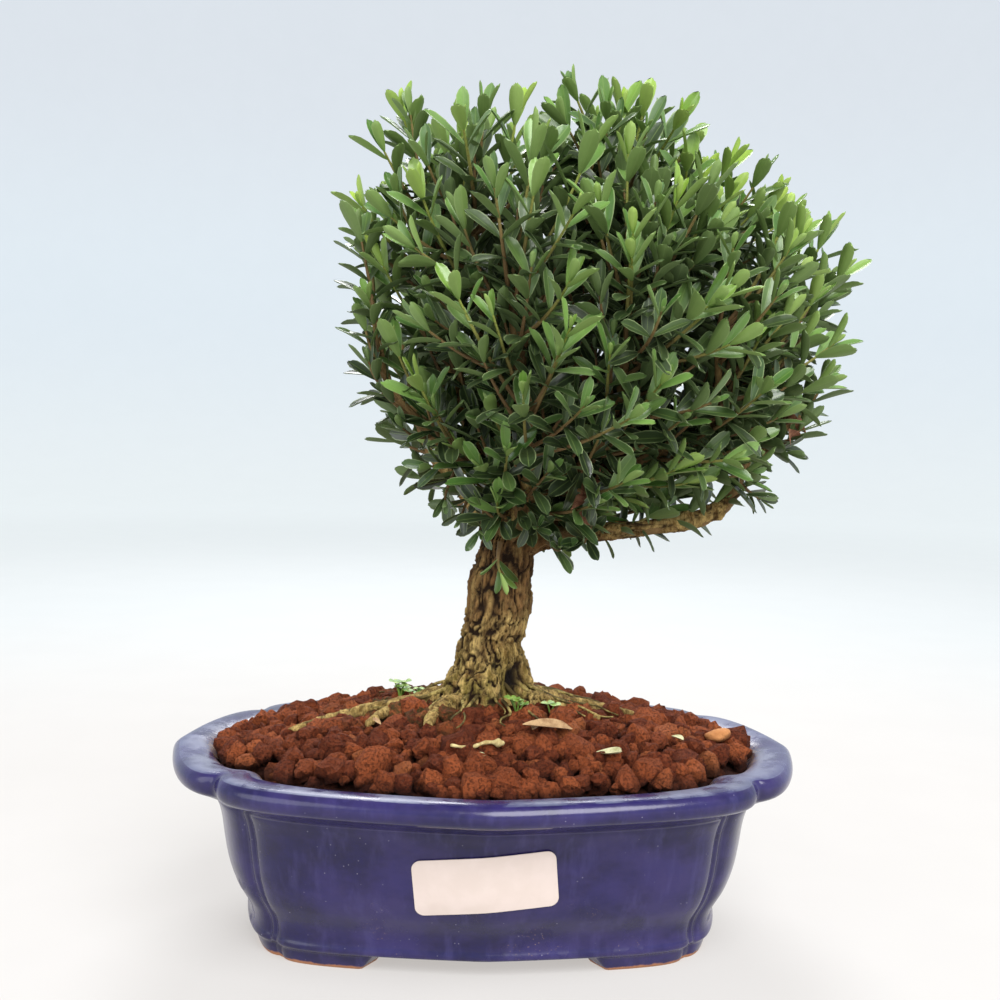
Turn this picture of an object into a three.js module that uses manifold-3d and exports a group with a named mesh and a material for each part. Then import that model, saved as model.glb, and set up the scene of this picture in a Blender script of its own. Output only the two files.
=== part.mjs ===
// Boxwood bonsai in a lobed, blue glazed ceramic pot on four corner feet.
// Millimetres, +Z up, standing on z = 0 with the origin under the middle of the whole thing.
// Until the last lines everything is placed round the pot's own middle, its long side along X.

import * as THREE from 'three';
import Module from 'manifold-3d';
import { mergeVertices } from 'three/addons/utils/BufferGeometryUtils.js';

// Driving dimensions of the pot
const lipHalfLength = 119;
const lipHalfWidth = 86;
const lipCornerX = 93.5;
const lipCornerY = 50;
const widthInsetRatio = 1.06;
const cornerInsetX = 0.67;
const cornerInsetY = 0.43;
const cuspSlope = 0.36;
const shoulderPower = 2.8;
const undersideHeight = 6.2;
const floorHeight = 12;
const footThickness = 11;
const footGapX = 44;
const footGapY = 17;
const footSlant = 5;
const drainRadius = 7;
const drainSides = 14;
const drainOffset = 45;
const seatGap = 0.35;

// Outer side of the pot from the ground up: height, and how far the wall stands in from the lip
const outerProfile = [
  [0, 33], [5.4, 30.8], [6.8, 29], [9.2, 29.4], [14, 28.8], [17, 27], [22, 24.2], [30, 21.2], [46, 18.4],
  [56, 15], [60.5, 6.5], [63, 1.4], [66, 0], [68.8, 1.6], [70, 4.8],
];

// Inner side from the lip down: height, inset of the outer wall there, wall thickness
const innerProfile = [[69.2, 4.8, 5.2], [66.5, 4.8, 10], [58, 14, 7.4], [34, 20.4, 6], [floorHeight, 29, 9]];

// Places along the pot's lobes, as shares from a lobe's middle to the corner notch
const sideLobePlaces = [0, 0.42, 0.76, 0.93, 1];
const longLobePlaces = [0.96, 0.84, 0.6, 0.3, 0];

// Driving dimensions of the soil
const soilWallGap = 0.6;
const soilEdgeHeight = 67;
const soilMoundHeight = 18.5;
const soilMoundX = 78;
const soilMoundY = 55;
const soilMoundPower = 2.6;
const granuleSpacing = 15.8;
const granuleWander = 0.45;
const granuleRise = [1.6, 4.2];
const granuleDip = [0.8, 2.8];

// Driving dimensions of the tree
const leafLength = 17;
const leafWidth = 6.4;
const leafThickness = 0.7;
const internode = 7.2;
const twigRadius = 1.2;
const sprayCount = 49;
const crownCentre = new THREE.Vector3(42, 1, 237);
const crownRoot = new THREE.Vector3(14, 1, 165);
const crownDepth = 72;
const crownTurn = 1.4;

// Reach of the crown from its centre, seen from the front, every 22.5 degrees from the right round by the top
const crownReach = [86, 82, 69, 74, 80, 70, 101, 96, 87, 85, 88, 90, 82, 80, 84, 87];

const wasm = await Module();
wasm.setup();

// Seeded random numbers from 0 to 1, so that each build is the same
let seed = 1;
function random() {
  seed = (Math.imul(seed, 1664525) + 1013904223) >>> 0;
  return seed / 4294967296;
}

// Solids from vertices and triangles, and back to geometry
function solidOf(positions, triangles) {
  const mesh = new wasm.Mesh({
    numProp: 3,
    vertProperties: Float32Array.from(positions),
    triVerts: Uint32Array.from(triangles),
  });
  return new wasm.Manifold(mesh);
}

function solidOfGeometry(geometry) {
  const bare = geometry.clone();
  bare.deleteAttribute('normal');
  bare.deleteAttribute('uv');
  const merged = mergeVertices(bare, 1e-4);
  return solidOf(merged.attributes.position.array, merged.index.array);
}

function geometryOf(solid) {
  const mesh = solid.getMesh();
  const geometry = new THREE.BufferGeometry();
  geometry.setAttribute('position', new THREE.BufferAttribute(mesh.vertProperties, 3));
  geometry.setIndex(new THREE.BufferAttribute(mesh.triVerts, 1));
  geometry.computeVertexNormals();
  return geometry;
}

// Corners that stand out by less than the slack are taken away: rough for grown things, flat for made ones
const roughSlack = 0.1;
const flatSlack = 0.01;

// The largest body of a rough solid
function largestPiece(solid) {
  const pieces = solid.asOriginal().simplify(roughSlack).decompose();
  pieces.sort((a, b) => b.volume() - a.volume());
  return pieces[0];
}

// Closed skin over a stack of rings with the same number of points, capped at both ends by fans
function loftSolid(rings) {
  const count = rings[0].length;
  const positions = rings.flat().flatMap((p) => [p.x, p.y, p.z]);
  const triangles = [];
  for (let level = 0; level < rings.length - 1; level += 1) {
    for (let i = 0; i < count; i += 1) {
      const a = level * count + i;
      const b = level * count + ((i + 1) % count);
      triangles.push(a, b, b + count, a, b + count, a + count);
    }
  }
  for (const [level, turned] of [[0, true], [rings.length - 1, false]]) {
    const centre = new THREE.Vector3();
    rings[level].forEach((p) => centre.addScaledVector(p, 1 / count));
    const hub = positions.length / 3;
    positions.push(centre.x, centre.y, centre.z);
    for (let i = 0; i < count; i += 1) {
      const a = level * count + i;
      const b = level * count + ((i + 1) % count);
      triangles.push(hub, turned ? b : a, turned ? a : b);
    }
  }
  return solidOf(positions, triangles);
}

// Pot outline: four bracket-shaped lobes, a soft cusp in the middle of each side, a notch at each corner
function lobeFall(t) {
  const shoulder = 1 - (1 - t ** shoulderPower) ** (1 / shoulderPower);
  return cuspSlope * t + (1 - cuspSlope) * shoulder;
}

function planAt(inset, wall = 0) {
  return {
    length: lipHalfLength - inset - wall,
    width: lipHalfWidth - inset * widthInsetRatio - wall,
    cornerX: lipCornerX - inset * cornerInsetX - wall,
    cornerY: lipCornerY - inset * cornerInsetY - wall,
  };
}

function planRing(plan, height) {
  const quarter = [];
  for (const t of sideLobePlaces) {
    quarter.push([plan.length - (plan.length - plan.cornerX) * lobeFall(t), plan.cornerY * t]);
  }
  for (const t of longLobePlaces) {
    quarter.push([plan.cornerX * t, plan.width - (plan.width - plan.cornerY) * lobeFall(t)]);
  }
  const back = quarter.slice(0, -1).map(([x, y]) => [-x, y]).reverse();
  const half = [...quarter, ...back];
  const front = half.slice(1, -1).map(([x, y]) => [x, -y]).reverse();
  return [...half, ...front].map(([x, y]) => new THREE.Vector3(x, y, height));
}

// Inset of the outer wall at a height, in straight steps between the profile's points
function outerInset(height) {
  const above = outerProfile.findIndex(([z]) => height <= z);
  const [[lowZ, lowInset], [highZ, highInset]] = outerProfile.slice(above - 1, above + 1);
  return THREE.MathUtils.mapLinear(height, lowZ, highZ, lowInset, highInset);
}

function potSolid() {
  const rings = outerProfile.map(([z, inset]) => planRing(planAt(inset), z));
  innerProfile.forEach(([z, inset, wall]) => rings.push(planRing(planAt(inset, wall), z)));
  const body = loftSolid(rings);
  const footPlan = planAt(outerProfile[2][1], footThickness);
  const under = loftSolid([planRing(footPlan, -1), planRing(footPlan, undersideHeight)]);
  let pot = body.subtract(under);
  for (const alongX of [false, true]) {
    const half = alongX ? footGapY : footGapX;
    const gap = new THREE.Shape();
    gap.moveTo(-half, -1);
    gap.lineTo(half, -1);
    gap.lineTo(half - footSlant, undersideHeight);
    gap.lineTo(footSlant - half, undersideHeight);
    const cut = new THREE.ExtrudeGeometry(gap, { depth: 4 * lipHalfLength, bevelEnabled: false });
    cut.translate(0, 0, -2 * lipHalfLength);
    cut.rotateX(Math.PI / 2);
    if (alongX) cut.rotateZ(Math.PI / 2);
    pot = pot.subtract(solidOfGeometry(cut));
  }
  for (const side of [-1, 1]) {
    const hole = new THREE.CylinderGeometry(drainRadius, drainRadius, 3 * floorHeight, drainSides);
    hole.rotateX(Math.PI / 2);
    hole.translate(side * drainOffset, 0, 0);
    pot = pot.subtract(solidOfGeometry(hole));
  }
  return pot;
}

// Square net over a drain hole
const netSize = 23;
const netBar = 2;
const netCells = 2;
const netThickness = 1.2;

function drainNetSolid(side) {
  const pitch = (netSize - netBar) / netCells;
  let net = null;
  for (let i = 0; i <= netCells; i += 1) {
    const across = (netBar - netSize) / 2 + i * pitch;
    for (const turned of [false, true]) {
      const bar = new THREE.BoxGeometry(netSize, netBar, netThickness);
      bar.translate(0, across, 0);
      if (turned) bar.rotateZ(Math.PI / 2);
      bar.translate(side * drainOffset, 0, floorHeight + seatGap + netThickness / 2);
      net = net ? net.add(solidOfGeometry(bar)) : solidOfGeometry(bar);
    }
  }
  return net.asOriginal().simplify(flatSlack);
}

// Mounded soil of coarse granules: a triangular lattice where every third point is a granule's top
function soilHeight(x, y) {
  const fall = (Math.abs(x) / soilMoundX) ** soilMoundPower + (Math.abs(y) / soilMoundY) ** soilMoundPower;
  return soilEdgeHeight + soilMoundHeight * Math.exp(-fall);
}

function granuleField() {
  const step = granuleSpacing / Math.sqrt(3);
  const rowStep = step * Math.sin(Math.PI / 3);
  const columns = Math.ceil((2 * lipHalfLength) / step) + 1;
  const rows = Math.ceil((2 * lipHalfWidth) / rowStep) + 1;
  const rings = [];
  for (let j = 0; j < rows; j += 1) {
    const row = [];
    for (let i = 0; i < columns; i += 1) {
      const isTop = (((i - Math.floor(j / 2)) - j) % 3 + 3) % 3 === 0;
      const x = (i + (j % 2) / 2) * step - lipHalfLength + (random() - 0.5) * step * granuleWander;
      const y = j * rowStep - lipHalfWidth + (random() - 0.5) * step * granuleWander;
      const relief = THREE.MathUtils.lerp(...(isTop ? granuleRise : granuleDip), random());
      row.push(new THREE.Vector3(x, y, soilHeight(x, y) + (isTop ? relief : -relief)));
    }
    rings.push(row);
  }
  const top = rings.flat();
  const foot = top.map((p) => new THREE.Vector3(p.x, p.y, 0));
  const positions = [...top, ...foot].flatMap((p) => [p.x, p.y, p.z]);
  const below = top.length;
  const triangles = [];
  for (let j = 0; j < rows - 1; j += 1) {
    for (let i = 0; i < columns - 1; i += 1) {
      const a = j * columns + i;
      const [b, c, d] = [a + 1, a + columns, a + columns + 1];
      const faces = j % 2 === 0 ? [[a, b, c], [b, d, c]] : [[a, b, d], [a, d, c]];
      faces.forEach(([p, q, r]) => triangles.push(p, q, r, below + p, below + r, below + q));
    }
  }
  const rim = [];
  for (let i = 0; i < columns - 1; i += 1) rim.push(i);
  for (let j = 0; j < rows - 1; j += 1) rim.push(j * columns + columns - 1);
  for (let i = columns - 1; i > 0; i -= 1) rim.push((rows - 1) * columns + i);
  for (let j = rows - 1; j > 0; j -= 1) rim.push(j * columns);
  rim.forEach((p, k) => {
    const q = rim[(k + 1) % rim.length];
    triangles.push(p, below + q, q, p, below + p, below + q);
  });
  return solidOf(positions, triangles);
}

function soilSolid(sockets) {
  const rings = [...innerProfile].reverse().slice(0, -1).map(([z, inset, wall]) => (
    planRing(planAt(inset, wall + soilWallGap), z === floorHeight ? z + seatGap : z)));
  const [, inset, wall] = innerProfile[1];
  rings.push(planRing(planAt(inset, wall + soilWallGap), soilEdgeHeight + 2 * soilMoundHeight));
  let soil = loftSolid(rings).intersect(granuleField());
  for (const side of [-1, 1]) {
    const recessSize = netSize + 2 * seatGap;
    const recess = new THREE.BoxGeometry(recessSize, recessSize, 2 * (netThickness + 2 * seatGap));
    recess.translate(side * drainOffset, 0, floorHeight);
    soil = soil.subtract(solidOfGeometry(recess));
  }
  sockets.forEach((socket) => {
    soil = soil.subtract(socket);
  });
  return largestPiece(soil);
}

// Tube through points of [x, y, z, radius]; relief gives the bark's ridges as a share of the radius
const limbNormal = new THREE.Vector3(0.31, -0.95, 0.12);

function limbRings(points, sides, steps, extra = 0, relief = () => 1) {
  const path = new THREE.CatmullRomCurve3(points.map((p) => new THREE.Vector3(p[0], p[1], p[2])));
  const normal = limbNormal.clone();
  const rings = [];
  for (let k = 0; k <= steps; k += 1) {
    const t = k / steps;
    const along = t * (points.length - 1);
    const before = Math.min(Math.floor(along), points.length - 2);
    const radius = THREE.MathUtils.lerp(points[before][3], points[before + 1][3], along - before);
    const tangent = path.getTangent(t);
    const centre = path.getPoint(t).addScaledVector(tangent, k === 0 ? -extra : Math.floor(t) * extra);
    normal.addScaledVector(tangent, -normal.dot(tangent)).normalize();
    const side = new THREE.Vector3().crossVectors(tangent, normal);
    const ring = [];
    for (let i = 0; i < sides; i += 1) {
      const angle = (2 * Math.PI * i) / sides;
      const reach = radius * relief(angle, centre.z) + extra;
      ring.push(centre.clone()
        .addScaledVector(normal, reach * Math.cos(angle))
        .addScaledVector(side, reach * Math.sin(angle)));
    }
    rings.push(ring);
  }
  return rings;
}

// Trunk centre line from the soil up
const trunkPoints = [
  [1, 5, 60, 10], [1, 5, 72, 15], [0.6, 4.5, 83, 19], [0.8, 4, 90, 17.2], [1.6, 4, 97, 14.2],
  [1.4, 4, 104, 12.6], [1.9, 4, 110, 11.4], [3.6, 4, 116, 11.9], [5, 4, 129, 12], [6.4, 4, 140, 11.2],
  [8, 3.5, 149, 9.4], [9, 2.5, 156, 6.5],
];
const trunkSides = 18;
const trunkSteps = 15;
const barkRidges = 7;
const barkLobes = 3;
const barkTwist = 0.045;
const barkDepth = 0.1;
const barkRidgeShare = 0.65;

// Ridges and a few broad lobes that wind slowly up the trunk
function barkRelief(angle, height) {
  const ridge = Math.cos(barkRidges * angle + height * barkTwist);
  const lobe = Math.cos(barkLobes * angle - 2 * height * barkTwist);
  return 1 + barkDepth * THREE.MathUtils.lerp(lobe, ridge, barkRidgeShare);
}

// Main branches from the trunk outwards, with their radii
const branches = [
  [[6, 3, 147, 6.5], [5, 2, 160, 5.4], [4.9, 2, 172, 4.6], [-3.8, 1, 186.5, 3.6], [-10.2, 2, 197, 3],
    [-14.7, 3, 213, 2.6], [-19.5, 4, 228, 2.1], [-22, 6, 250, 1.6], [-20, 8, 270, 1.2]],
  [[8, 0, 150, 5.5], [14.9, -6, 164, 4.2], [21.8, -8, 187, 3.4], [16.2, -8, 203, 2.9],
    [9.6, -8, 213, 2.6], [1.5, -9, 224, 2.2], [-6, -12, 240, 1.7], [-8, -12, 262, 1.2]],
  [[9, 3, 150, 6], [16, 2, 168, 4.6], [29.6, 2, 186, 3.8], [35, 4, 200, 3.2], [34, 6, 219, 2.7],
    [37, 6, 242, 2.1], [44, 8, 262, 1.6], [46, 8, 282, 1.2]],
  [[6, 4, 145, 6.2], [20, 0, 148.5, 4.4], [38, -4, 151.7, 3.4], [61, -5, 154.6, 3], [80, -5, 158, 2.9],
    [90.6, -4, 165, 2.7], [95.2, -4, 177, 2.4], [98.6, -3, 190, 2.1], [100, -2, 206, 1.8],
    [106, 0, 226, 1.4], [110, 2, 246, 1.1]],
  [[9, 0, 152, 5], [13, -9, 165, 3.6], [29, -14, 173, 3], [47, -16, 178, 2.6], [62, -17, 184, 2.3],
    [79, -18, 193, 2], [91, -20, 206, 1.6], [97, -20, 226, 1.2]],
  [[94.5, -4, 175, 2.2], [103.4, -2, 183, 1.7], [110.6, 0, 190, 1.5], [119, 2, 198, 1.2]],
  [[5, 1, 168, 3.6], [-4, -4, 175, 2.9], [-14, -7, 181.6, 2.4], [-27, -9, 192, 2], [-38, -10, 205, 1.6],
    [-43, -10, 222, 1.2]],
  [[7, 7, 146, 6], [9, 18, 160, 4.2], [10, 28, 178, 3.2], [8, 36, 202, 2.5], [4, 40, 226, 1.9],
    [0, 40, 252, 1.2]],
  [[8, 6, 148, 5.5], [26, 18, 160, 3.8], [42, 28, 178, 3], [50, 36, 204, 2.3], [56, 40, 232, 1.7],
    [58, 38, 258, 1.2]],
  [[20, 0, 149, 3.6], [40, 14, 158, 3], [64, 26, 168, 2.6], [82, 32, 186, 2.2], [94, 34, 208, 1.7],
    [98, 32, 232, 1.2]],
  [[4, 5, 150, 5], [-8, 16, 164, 3.4], [-22, 24, 180, 2.6], [-32, 30, 202, 2], [-36, 32, 228, 1.3]],
  [[14, -7, 163, 3.4], [14, -20, 172, 2.7], [12, -32, 190, 2.2], [8, -38, 212, 1.7], [4, -38, 236, 1.2]],
  [[28, -13.5, 173, 2.6], [38, -26, 184, 2.2], [44, -36, 204, 1.8], [46, -40, 230, 1.2]],
  [[78, -17.5, 192.5, 1.8], [80, -30, 206, 1.5], [78, -36, 226, 1.1]],
  [[35.5, 5, 205, 2.4], [50, 6, 222, 2], [66, 6, 244, 1.6], [74, 6, 268, 1.1]],
  [[12, -9, 176, 1.9], [19, -11, 179.5, 1.9], [25.5, -12, 180.4, 1.8]],
];

// Surface roots as [x, y, radius]; their height follows the soil
const roots = [
  [[-8, 2, 6], [-18, 0, 4], [-28, -3, 2.5], [-42, -6, 2.1], [-54, -8, 1.8], [-64, -9, 1.5], [-74, -14, 1]],
  [[-34, -4, 2.1], [-38, -14, 1.7], [-44, -24, 1.1]],
  [[8, -2, 6], [17, -6, 4.2], [26, -8, 2.6], [34, -10, 1.8], [42, -16, 1.1]],
  [[8, 4, 6], [20, 3, 3.4], [32, 2, 2.2], [46, 3, 1.6], [58, 6, 1]],
  [[-2, 8, 6], [-10, 20, 3.6], [-16, 32, 2], [-20, 44, 1.2]],
  [[4, 8, 6], [14, 20, 3.4], [22, 32, 2], [30, 42, 1.1]],
  [[-6, -4, 6], [-14, -13, 3.8], [-20, -22, 2.2], [-22, -32, 1.2]],
];
const rootLift = 1.2;
const rootStartDrop = 3;
const thickBranch = 3;

function rootPoints(root) {
  return root.map(([x, y, radius], i) => (
    [x, y, soilHeight(x, y) + rootLift - (i === 0 ? rootStartDrop : 0), radius]));
}

function woodSolid() {
  let wood = loftSolid(limbRings(trunkPoints, trunkSides, trunkSteps, 0, barkRelief));
  branches.forEach((points) => {
    const sides = points[0][3] > thickBranch ? 5 : 4;
    wood = wood.add(loftSolid(limbRings(points, sides, points.length - 1)));
  });
  roots.forEach((root) => {
    wood = wood.add(loftSolid(limbRings(rootPoints(root), 4, root.length - 1)));
  });
  return largestPiece(wood);
}

// Plain holes in the soil for the trunk's foot and the roots
const stumpPoints = trunkPoints.slice(0, 5);
const stumpHoleSides = 12;
const stumpHoleGap = 0.7;
const stumpHoleRelief = 1.14;
const rootHoleGap = 0.52;

function soilSockets() {
  const steps = stumpPoints.length - 1;
  const stump = limbRings(stumpPoints, stumpHoleSides, steps, stumpHoleGap, () => stumpHoleRelief);
  const rootRings = roots.map((root) => limbRings(rootPoints(root), 4, root.length - 1, rootHoleGap));
  return [stump, ...rootRings].map(loftSolid);
}

// Leaf outline as shares of its length and width, from one side of its stalk round the tip to the other.
// The widest part lies beyond the middle and the tip has a shallow notch. The lower face has three of the
// same points, so that the tip thins out on both sides of the notch.
const leafOutline = [[0.62, -0.5], [1, -0.2], [0.94, 0], [1, 0.2], [0.62, 0.5]];
const lowerOutline = [0, 2, 4];
const leafFold = 0.3;
const leafDroop = 0.1;

// Triangles of the upper and lower face over [stalk corner, ...outline, stalk corner], and for each point
// of the upper edge the point of the lower edge below it
const upperTriangles = [[0, 1, 2], [0, 2, 3], [0, 3, 6], [6, 3, 4], [6, 4, 5]];
const lowerTriangles = [[0, 2, 1], [0, 4, 2], [4, 3, 2]];
const pointBelow = [0, 1, 1, 2, 3, 3, 4];

// Outline points of a leaf whose stalk starts at an origin and that lies along one direction, the upper
// face's points first
function leafPoints(origin, along, up, size) {
  const across = new THREE.Vector3().crossVectors(up, along);
  const upper = leafOutline.map(([far, wide]) => {
    const lift = Math.abs(wide) * leafWidth * leafFold - leafDroop * leafLength * far * far;
    return origin.clone()
      .addScaledVector(along, far * leafLength * size)
      .addScaledVector(across, wide * leafWidth * size)
      .addScaledVector(up, lift * size);
  });
  return [...upper, ...lowerOutline.map((i) => upper[i].clone().addScaledVector(up, -leafThickness))];
}

// Skin of a leaf between four stalk corners (left and right, lower and upper) and its outline points, which
// start at the index first
function leafFaces([lowLeft, lowRight, highLeft, highRight], first) {
  const top = [highLeft, ...leafOutline.map((_, i) => first + i), highRight];
  const bottom = [lowLeft, ...lowerOutline.map((_, i) => first + leafOutline.length + i), lowRight];
  const faces = upperTriangles.flat().map((i) => top[i]);
  faces.push(...lowerTriangles.flat().map((i) => bottom[i]));
  for (let i = 0; i < top.length - 1; i += 1) {
    const [here, next] = [bottom[pointBelow[i]], bottom[pointBelow[i + 1]]];
    faces.push(top[i + 1], top[i], here);
    if (next !== here) faces.push(top[i + 1], here, next);
  }
  return faces;
}

// One leaf as a solid of its own, from its stalk corners and outline points
function leafSolid(corners, leaf) {
  const stalkEnd = [0, 3, 1, 0, 2, 3];
  const faces = [...leafFaces([0, 1, 2, 3], corners.length), ...stalkEnd];
  return solidOf([...corners, ...leaf].flatMap((p) => [p.x, p.y, p.z]), faces);
}

// Leafy shoot in one skin: a four-sided twig whose nodes each send out a pair of leaves from opposite
// faces, the next pair from the other two. The path runs from the seat to the tip.
const twigNormal = new THREE.Vector3(0.2, 0.31, 0.93);
const twigTaper = 0.5;
const nodeHeight = 1.1;
const leanPerPair = 0.16;
const leanSpread = 0.24;
const leafSizes = [0.84, 1.14];

function shootSolid(shape, isClearLeaf) {
  const { start, middle, tip, radius, pairs, gap, size, lean, turn } = shape;
  const path = new THREE.CatmullRomCurve3([start, middle, tip]);
  const length = path.getLength();
  const stations = [0];
  for (let pair = pairs - 1; pair >= 0; pair -= 1) {
    const high = 1 - (pair * gap) / length;
    stations.push(high - nodeHeight / length, high);
  }
  const normal = twigNormal.clone();
  const rings = stations.map((share) => {
    const tangent = path.getTangentAt(share);
    normal.addScaledVector(tangent, -normal.dot(tangent)).normalize();
    const side = new THREE.Vector3().crossVectors(tangent, normal);
    const reach = radius * (1 - twigTaper * share);
    return [0, 1, 2, 3].map((k) => turn + (k * Math.PI) / 2).map((angle) => path.getPointAt(share)
      .addScaledVector(normal, reach * Math.cos(angle))
      .addScaledVector(side, reach * Math.sin(angle)));
  });
  const points = rings.flat();
  const faces = [0, 3, 2, 0, 2, 1];
  const leaves = [];
  for (let level = 0; level < rings.length - 1; level += 1) {
    const pair = (level - 1) / 2;
    const tangent = path.getTangentAt(stations[level]);
    for (let k = 0; k < 4; k += 1) {
      const corners = [level * 4 + k, level * 4 + ((k + 1) % 4)];
      corners.push(corners[0] + 4, corners[1] + 4);
      const hasLeaf = Number.isInteger(pair) && k % 2 === pair % 2;
      const form = hasLeaf && {
        size: size * THREE.MathUtils.lerp(...leafSizes, random()),
        lean: lean + leanPerPair * (pairs - 1 - pair) + (random() - 0.5) * leanSpread,
      };
      const leaf = form && shootLeaf(corners.map((c) => points[c]), tangent, form, leaves, isClearLeaf);
      if (leaf) {
        faces.push(...leafFaces(corners, points.length));
        points.push(...leaf);
      } else {
        const [a, b, c, d] = corners;
        faces.push(a, b, d, a, d, c);
      }
    }
  }
  const last = (rings.length - 1) * 4;
  faces.push(last, last + 1, last + 2, last, last + 2, last + 3);
  return { solid: solidOf(points.flatMap((p) => [p.x, p.y, p.z]), faces), leaves: leaves.length };
}

// A leaf that leans out of its stalk face; it is tried at a few angles until it hits nothing, and is the
// smaller the more its angle had to change
const siblingGap = 0.12;
const leanChanges = [0, -0.3, 0.35, 0.7, -0.5];
const shrinkPerChange = 0.2;

function shootLeaf(corners, tangent, form, siblings, isClearLeaf) {
  const origin = new THREE.Vector3();
  corners.forEach((p) => origin.addScaledVector(p, 1 / corners.length));
  const sideways = corners[1].clone().sub(corners[0]).normalize();
  const out = new THREE.Vector3().crossVectors(sideways, tangent).normalize();
  for (const change of leanChanges) {
    const lean = form.lean + change;
    const along = tangent.clone().multiplyScalar(Math.cos(lean)).addScaledVector(out, Math.sin(lean));
    const up = tangent.clone().multiplyScalar(Math.sin(lean)).addScaledVector(out, -Math.cos(lean));
    const leaf = leafPoints(origin, along, up, form.size * (1 - Math.abs(change) * shrinkPerChange));
    const solid = leafSolid(corners, leaf);
    if (isClearLeaf(solid) && siblings.every((other) => other.minGap(solid, siblingGap) >= siblingGap)) {
      siblings.push(solid);
      return leaf;
    }
  }
  return null;
}

// Crown surface in a direction: around in the front view, side towards the front or the back
function crownPoint(around, side) {
  const turn = ((around / (2 * Math.PI)) * crownReach.length) % crownReach.length;
  const first = Math.floor(turn);
  const share = (1 - Math.cos(Math.PI * (turn - first))) / 2;
  const reach = THREE.MathUtils.lerp(crownReach[first], crownReach[(first + 1) % crownReach.length], share);
  const inFront = reach * Math.sqrt(1 - side * side);
  return new THREE.Vector3(inFront * Math.cos(around), crownDepth * side, inFront * Math.sin(around))
    .add(crownCentre);
}

// Where a shoot may start: points along the branches past their first stretch, with the branch's radius
const seatsPerPoint = 3;

function branchSeats() {
  const seats = [];
  branches.forEach((points) => {
    const path = new THREE.CatmullRomCurve3(points.map((p) => new THREE.Vector3(p[0], p[1], p[2])));
    const steps = points.length * seatsPerPoint;
    for (let k = seatsPerPoint; k <= steps; k += 1) {
      const along = (k / steps) * (points.length - 1);
      const before = Math.min(Math.floor(along), points.length - 2);
      const radius = THREE.MathUtils.lerp(points[before][3], points[before + 1][3], along - before);
      seats.push({ point: path.getPoint(k / steps), radius });
    }
  });
  return seats;
}

const shootReach = 46;
const downPenalty = 18;
const turnPenalty = 40;

// The seat from which a shoot of about the usual length grows away from the crown's root, rather up than down
function bestSeat(tip, seats) {
  const outward = tip.clone().sub(crownRoot).normalize();
  let best = null;
  seats.forEach((seat) => {
    const way = tip.clone().sub(seat.point);
    const length = way.length();
    way.normalize();
    const turned = turnPenalty * (1 - way.dot(outward));
    const cost = Math.abs(length - shootReach) + turned + downPenalty * Math.max(-way.z, 0);
    if (!best || cost < best.cost) best = { cost, seat, length };
  });
  return best;
}

// Whether a solid keeps its distance from earlier ones
function boxesMeet(a, b, margin) {
  return [0, 1, 2].every((k) => a.min[k] - margin < b.max[k] && b.min[k] - margin < a.max[k]);
}

function isClear(solid, others, margin) {
  const box = solid.boundingBox();
  return others.filter((other) => boxesMeet(box, other.box, margin))
    .every((other) => solid.minGap(other.solid, margin) >= margin);
}

// Shoot from its seat on a branch to the crown's surface. Its twig starts as near the wood as it may.
const clearance = 0.3;
const seatClearance = 0.24;
const seatStep = 0.3;
const seatReach = 6;
const sprayPairs = 5;
const sprayLean = 0.5;
const fewestLeaves = 6;
const twigSag = 0.07;

function seatedTwig({ seat, length }, tip, wood, others) {
  const middle = seat.point.clone().lerp(tip, 0.5);
  middle.z -= twigSag * length;
  const way = middle.clone().sub(seat.point).normalize();
  const pairs = Math.min(sprayPairs, Math.floor(length / internode) - 1);
  const shape = { middle, tip, radius: twigRadius, pairs, gap: internode, size: 1, lean: sprayLean };
  shape.turn = random() * Math.PI;
  for (let away = seat.radius / 2; away < seat.radius + seatReach; away += seatStep) {
    shape.start = seat.point.clone().addScaledVector(way, away);
    const bare = shootSolid(shape, () => false).solid;
    if (bare.minGap(wood.solid, clearance) >= seatClearance) {
      return isClear(bare, others, clearance) ? shape : null;
    }
  }
  return null;
}

function spraySolid(tip, seats, wood, others) {
  const shape = seatedTwig(bestSeat(tip, seats), tip, wood, others);
  if (!shape) return null;
  const blockers = [wood, ...others];
  const spray = shootSolid(shape, (leaf) => isClear(leaf, blockers, clearance));
  return spray.leaves >= fewestLeaves ? spray.solid : null;
}

// Shoots spread evenly over the crown from the front to the back; the trunk's own place under the crown
// stays free. A shoot that finds no room is tried again with its tip a little off and further in.
const goldenAngle = Math.PI * (3 - Math.sqrt(5));
const crownPlaces = 52;
const triesPerPlace = 14;
const inwardPerTry = 0.03;
const trunkClearRadius = 15;
const tipWander = 9;

function spraySolids(wood) {
  const seats = branchSeats();
  const sprays = [];
  const [trunkX, trunkY] = trunkPoints[8];
  for (let k = 0; k < crownPlaces && sprays.length < sprayCount; k += 1) {
    const place = crownPoint(crownTurn + k * goldenAngle, (2 * (k + 0.5)) / crownPlaces - 1);
    let solid = null;
    for (let tries = 0; !solid && tries < triesPerPlace; tries += 1) {
      const wander = new THREE.Vector3(random() - 0.5, random() - 0.5, random() - 0.5);
      const tip = place.clone().lerp(crownCentre, tries * inwardPerTry).addScaledVector(wander, tipWander);
      const fromTrunk = Math.hypot(tip.x - trunkX, tip.y - trunkY);
      const isFree = tip.z > crownCentre.z || fromTrunk > trunkClearRadius;
      solid = isFree ? spraySolid(tip, seats, wood, sprays) : null;
    }
    if (solid) sprays.push({ solid, box: solid.boundingBox() });
  }
  return sprays.map((spray) => spray.solid);
}

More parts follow.
